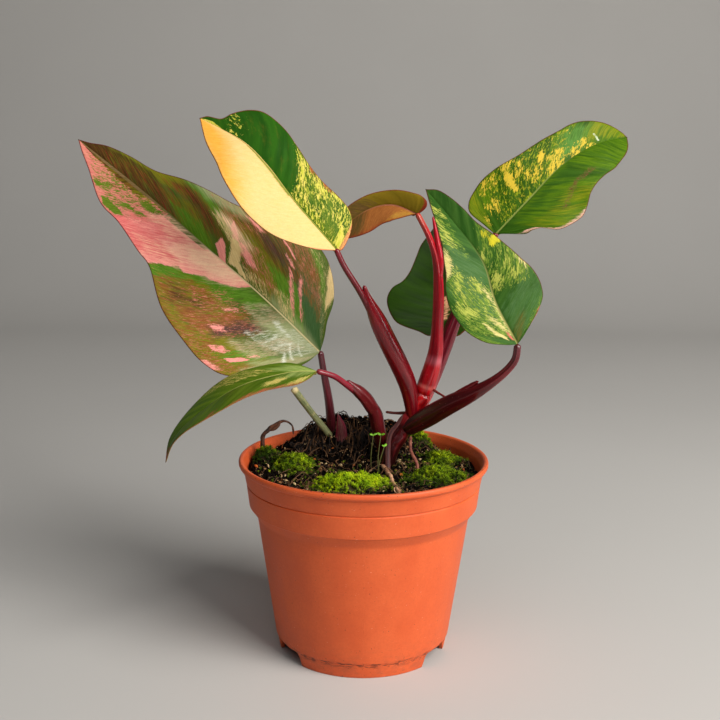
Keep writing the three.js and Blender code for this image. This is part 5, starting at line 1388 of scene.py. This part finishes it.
# The highest leaf on the right: bright green with golden flakes on its left half.
make_leaf(
    "leaf_upper", name="blade_upper",
    spine=[[62, 14, 201], [78, 17, 218], [94, 22, 234], [112, 30, 244], [128, 38, 247]],
    right=[[2, 1.2], [9.1, 10], [13.3, 11.8], [17.2, 14.6], [21, 20], [26.4, 22.9], [33.2, 24.5],
           [39, 23.1], [46.8, 19.6], [53.4, 17.6], [60.6, 16.3], [70.6, 14.9], [79.5, 10.6], [84.2, 6]],
    left=[[-0.5, 7.8], [-0.9, 15.8], [2.2, 19.6], [7.2, 21.4], [15.4, 22.5], [25.4, 20.9], [36, 17.6],
          [45.8, 15.6], [54.6, 14.3], [61.3, 14], [68, 12.4], [77.3, 8], [84.3, 3.2]],
    base=[0.1, -0.9, 0.4], tip=[0.1, -0.9, 0.4], fold=[12, 14], curl=[-8, -8], wide=23, wave=[1, 2.5, 0.4],
    lean=(0.3, 0.3), ground=((33, 67, 5), (52, 88, 15)), rib=(124, 135, 65), margin=(89, 34, 25),
    under=((86, 112, 46), (101, 125, 59)),
    layers=[
        ("light", ((71, 104, 6), (85, 115, 12)), (2.2, 24), 2.0, 1.6, dict(
            right=[(0.56, 0.3, 0.6, 0.25, 1), (0.5, 0.7, 1, 0.1, 1), (0.7, 0.3, 0.92, -0.05, 0.05)],
            left=[(0.6, 0.62, 0.68, 0.1, 0.95), (0.6, 0.1, 0.3, 0.5, 1), (0.6, 0.8, 0.97, 0, 1)])),
        ("silver", ((72, 118, 40), (86, 128, 50)), (2, 8), 1.4, 1.4, dict(
            left=[(0.7, 0.67, 0.8, 0.15, 0.8)])),
        ("straw", ((109, 121, 10), (124, 126, 19)), (1.4, 16), 1.6, 1.2, dict(
            left=[(0.6, 0.83, 0.9, 0.3, 0.95), (0.5, 0.93, 0.97, 0.2, 0.9), (0.5, 0.08, 0.2, 0.55, 0.98)],
            right=[(0.4, 0.3, 0.55, 0.5, 1)])),
        ("dapple", ((118, 136, 20), (146, 148, 30)), (1.3, 2.2), 1.7, 0.5, dict(
            left=[(0.36, 0.28, 0.66, 0.05, 0.98)])),
        ("gold", ((207, 174, 51), (190, 168, 55)), (1.4, 2.2), 1.7, 0.35, dict(
            left=[(0.2, 0.26, 0.66, 0.05, 0.98),
                  (1, (0.38, 0.3), (0.395, 0.28), (0.415, 0.45), (0.42, 0.65), (0.41, 0.8), (0.39, 0.75),
                   (0.375, 0.65), (0.375, 0.45)),
                  (1, (0.555, 0.5), (0.58, 0.45), (0.6, 0.5), (0.6, 0.62), (0.585, 0.7), (0.565, 0.62)),
                  (0.85, 0.455, 0.475, 0.56, 0.8), (0.8, 0.485, 0.5, 0.38, 0.48),
                  (0.8, (0.5, 0.2), (0.52, 0.15), (0.54, 0.35), (0.515, 0.4)),
                  (0.85, (0.54, 0.3), (0.555, 0.28), (0.562, 0.44), (0.545, 0.44)),
                  (0.58, 0.6, 0.665, 0, 0.42), (0.9, 0.635, 0.66, 0, 0.13), (0.85, 0.722, 0.745, 0.08, 0.2),
                  (0.75, 0.74, 0.755, 0, 0.07), (0.9, 0.768, 0.793, 0.15, 0.32),
                  (0.75, 0.815, 0.825, 0.05, 0.12),
                  (0.75, (0.225, 0.3), (0.24, 0.3), (0.27, 0.45), (0.255, 0.47)),
                  (0.7, 0.21, 0.22, 0.44, 0.5), (0.6, 0.115, 0.14, 0.42, 0.48),
                  (0.7, 0.28, 0.295, 0.78, 0.95), (0.7, 0.32, 0.34, 0.75, 0.88),
                  (0.75, 0.4, 0.44, 0.82, 0.98)])),
        ("torn", ((206, 168, 150), (196, 146, 124)), (1.0, 2.6), 0.7, 0.4, dict(
            right=[(0.8, 0.16, 0.3, 0.78, 1.05), (0.8, 0.28, 0.45, 0.94, 1.05)])),
        ("scar", ((124, 84, 58), (88, 56, 28)), (0.5, 1.0), 0.9, 0.3, dict(
            right=[(0.5, 0.54, 0.62, 0.53, 0.57), (0.46, 0.62, 0.7, 0.56, 0.64),
                   (0.42, 0.44, 0.56, 0.58, 0.6)])),
        ("scratch", ((206, 216, 190), (190, 200, 160)), (0.8, 5.6), 0.4, 0.25, dict(
            left=[(1, (0.856, 0.1), (0.864, 0.1), (0.841, 0.45), (0.834, 0.45))])),
    ])
# The lowest leaf, which arches over to the left.
make_leaf(
    "leaf_arching", name="blade_arching",
    spine=[[-22, -16, 140], [-35, -20, 140], [-56, -26, 135], [-74, -31, 124], [-85, -35, 113],
           [-89, -37, 102]],
    right=[[4.6, 4.4], [10.8, 9.7], [18, 12.6], [26, 14], [33.3, 15.7], [40.7, 16.8], [49, 16], [57.5, 13],
           [66, 10], [73, 7.5], [80, 4.5]],
    left=[[6.3, 10], [12.9, 15.2], [20, 15.5], [27, 15.4], [35.2, 16], [43.4, 16.2], [51.2, 16],
          [61.5, 14.5], [69, 11], [76, 7], [82, 3.4]],
    base=[-0.1, -0.25, 1], tip=[-0.9, -0.2, 0.3], fold=[7, 7], curl=[-6, -6], wide=18, wave=[0, 2, 0.2],
    lean=(0.3, 0.3), ground=((65, 95, 13), (95, 120, 30)), rib=(176, 174, 100), margin=(138, 72, 58),
    under=((127, 140, 63), (149, 158, 75)),
    layers=[
        ("sheen", ((161, 176, 99), (138, 158, 81)), (2.2, 15.4), 1.4, 1.2, dict(
            left=[(0.6, 0.05, 0.3, 0, 0.35)],
            right=[(0.6, 0.05, 0.3, 0, 0.4)])),
        ("cream", ((216, 196, 112), (188, 174, 86)), (1.1, 2.9), 1.0, 0.35, dict(
            left=[(0.85, (0.29, 0.35), (0.35, 0.35), (0.41, 0.45), (0.4, 0.65), (0.33, 0.65), (0.3, 0.5)),
                  (0.7, 0.14, 0.24, 0.6, 0.92)],
            right=[(0.4, 0.4, 0.6, 0.3, 1), (1, 0.448, 0.462, 0.2, 0.3)])),
        ("blush", ((182, 98, 72), (160, 80, 58)), (1.0, 7.0), 0.8, 0.4, dict(
            left=[(0.5, 0.2, 0.55, 0.88, 1.05), (0.9, 0.64, 0.66, 0.8, 1.05)])),
        ("brown", ((129, 60, 32), (149, 75, 39)), (1.2, 8.4), 0.8, 0.5, dict(
            left=[(0.8, 0.95, 1.1, -0.1, 1.1)],
            right=[(0.8, 0.95, 1.1, -0.1, 1.1)])),
    ])

# ---- Dried scales --------------------------------------------------------------------------------
# Two bracts that once wrapped a new leaf are left on the old stems. One is a broad papery scale, magenta
# at its edges and grey-pink in the middle, the other a narrow dark red strip.
SCALES = {
    "old_sheath": dict(
        name="scale_broad", slot="old_sheath",
        spine=[[-10, 22.6, 90], [-11, 20.6, 98], [-11.4, 19.6, 105], [-13, 19.4, 111.6]],
        right=[[1.6, 2.2], [7, 4.1], [13, 3.5], [19, 1.3]], left=[[1.6, 2], [7, 3.2], [14, 2.4], [19.5, 1]],
        base=[0.1, -1, 0.3], tip=[0.2, -1, 0.1], fold=[-30, -30], curl=[-10, -10], wide=4, wave=[0, 1, 0],
        middle=(122, 62, 64), rim=(148, 14, 56), pale=(196, 154, 142)),
    "dry_bract": dict(
        name="scale_narrow", slot="dried_plant",
        spine=[[12, -5.6, 86], [11.6, -3.2, 98], [12.6, -2, 106.4], [16, -1.4, 111.4], [18.8, -1.2, 116.4]],
        right=[[3, 1], [12, 1.2], [24, 1], [30, 0.8]], left=[[3, 1], [12, 1.1], [24, 0.9], [30, 0.7]],
        base=[0, -1, 0.1], tip=[0, -1, 0.1], fold=[-14, -14], curl=[0, 0], wide=2, wave=[0, 1, 0],
        middle=(54, 10, 14), rim=(86, 30, 26), pale=(116, 58, 48)),
}
for node, scale in SCALES.items():
    blade = Blade(scale)
    _, t, x, y, _ = blade.grid(0.35)
    middle, normal = blade.at(x, y), blade.facing(x, y)
    folds = 0.12 * lumps(y * 3, x / 4, 1.6, 4) + 0.1 * lumps(x, y, 2.4, 6)
    rings = np.concatenate([middle + normal * (0.25 + folds)[..., None],
                            (middle + normal * (folds - 0.15)[..., None])[:, ::-1]], 1)
    ends = (blade.at(np.array([at]), np.zeros(1))[0] for at in (-0.1, blade.length + 0.1))
    piece = make_piece(scale["name"], *closed_skin(rings, *ends), scale["slot"], node)
    keep(piece, "run", np.stack([both_sides(t), both_sides(x), both_sides(0 * x)], -1))
    look = Look(scale["name"] + "_skin", Coat_Weight=0.15, Coat_Roughness=0.4)
    lines = look.grain(look.stored("run", 0.12, 5), detail=4, rough=0.65)
    side = look.maths("ABSOLUTE", look.add("SeparateXYZ", {0: look.stored("run")}))
    colour = look.mix(look.between(side, 0.25, 0.95), scale["middle"], scale["rim"])
    colour = look.lay(colour, scale["pale"], lines, 0.5, 0.72, 0.75)
    patch = look.grain(look.here(1.6, 1.6, 3), detail=3)
    colour = look.lay(colour, (70, 40, 34), patch, 0.62, 0.75, 0.6)
    rough = look.between(lines, 0.3, 0.7, 0.4, 0.65)
    piece.data.materials.append(look.wear(colour, rough, look.relief(lines, 0.2)))

# ---- Floor, light and camera ---------------------------------------------------------------------
# A pale studio sweep: a level floor that curves up into a wall behind. It isn't part of the object.
SWEEP_FRONT, SWEEP_HALF_WIDTH, SWEEP_START, SWEEP_RADIUS, SWEEP_TOP = -1500, 2500.0, 900, 500, 2200
turn = np.linspace(0, np.pi / 2, 24)
bend = SWEEP_START + SWEEP_RADIUS * np.sin(turn)
depth = np.concatenate([[SWEEP_FRONT], bend, [SWEEP_START + SWEEP_RADIUS]])
height = np.concatenate([[0], SWEEP_RADIUS * (1 - np.cos(turn)), [SWEEP_TOP]])
across = np.array([[-SWEEP_HALF_WIDTH, SWEEP_HALF_WIDTH]])
grid = np.stack(np.broadcast_arrays(across, depth[:, None], height[:, None]), -1).reshape(-1, 3)
k = np.arange(len(depth) - 1) * 2
sweep = mesh_object("studio_sweep", grid, np.stack([k, k + 1, k + 3, k + 2], -1).tolist())
sweep.data.shade_smooth()
look = Look("sweep_paper")
mottle = look.grain(look.here(300, 300, 300), detail=2)
sweep.data.materials.append(look.wear(look.mix(mottle, (184, 182, 178), (192, 190, 186)), 0.85))

# A wide soft key from the right front with a smaller, lower light beside it that draws the shine along the
# stalks, a broad weak light high on the left, and a weak even fill.
def soft_light(name, azimuth, elevation, distance, size, watts, tint):
    """A square area light at an azimuth to the right of the camera, aimed at the plant's middle."""
    turn, rise = np.radians([azimuth, elevation])
    aim = np.array([0, 0, 0.15])
    back = np.array([math.sin(turn) * math.cos(rise), -math.cos(turn) * math.cos(rise), math.sin(rise)])
    data = bpy.data.lights.new(name, "AREA")
    data.shape, data.size, data.energy, data.color = "SQUARE", size, watts, tint
    lamp = bpy.data.objects.new(name, data)
    right = np.cross([0, 0, 1.0], back)
    right /= np.linalg.norm(right)
    turn = np.stack([right, np.cross(back, right), back], -1)
    lamp.matrix_world = Matrix.Translation(aim + back * distance) @ Matrix(turn.tolist()).to_4x4()
    bpy.context.scene.collection.objects.link(lamp)


soft_light("key_light", 48, 36, 1.4, 1.0, 28, (1, 0.97, 0.93))
soft_light("side_light", 56, 12, 1.2, 0.45, 4.8, (1, 0.97, 0.94))
soft_light("top_light", -12, 55, 1.4, 0.9, 3.5, (0.95, 0.97, 1))
FILL_STRENGTH = 0.07
world = bpy.data.worlds.new("studio_air")
world.use_nodes = True
fill = world.node_tree.nodes["Background"].inputs
fill["Color"].default_value, fill["Strength"].default_value = (1, 1, 1, 1), FILL_STRENGTH
bpy.context.scene.world = world
bpy.context.scene.view_settings.view_transform = "Standard"

CAMERA_PLACE = (-0.0031, -0.512, 0.244)
CAMERA_YAW, CAMERA_PITCH, CAMERA_ROLL = 0.002, 0.196, 0.008
camera_data = bpy.data.cameras.new("camera")
camera_data.lens, camera_data.sensor_width = 55, 36
camera = bpy.data.objects.new("camera", camera_data)
camera.matrix_world = (Matrix.Translation(CAMERA_PLACE) @ Matrix.Rotation(-CAMERA_YAW, 4, "Z")
                       @ Matrix.Rotation(math.pi / 2 - CAMERA_PITCH, 4, "X")
                       @ Matrix.Rotation(CAMERA_ROLL, 4, "Z"))
bpy.context.scene.collection.objects.link(camera)
bpy.context.scene.camera = camera
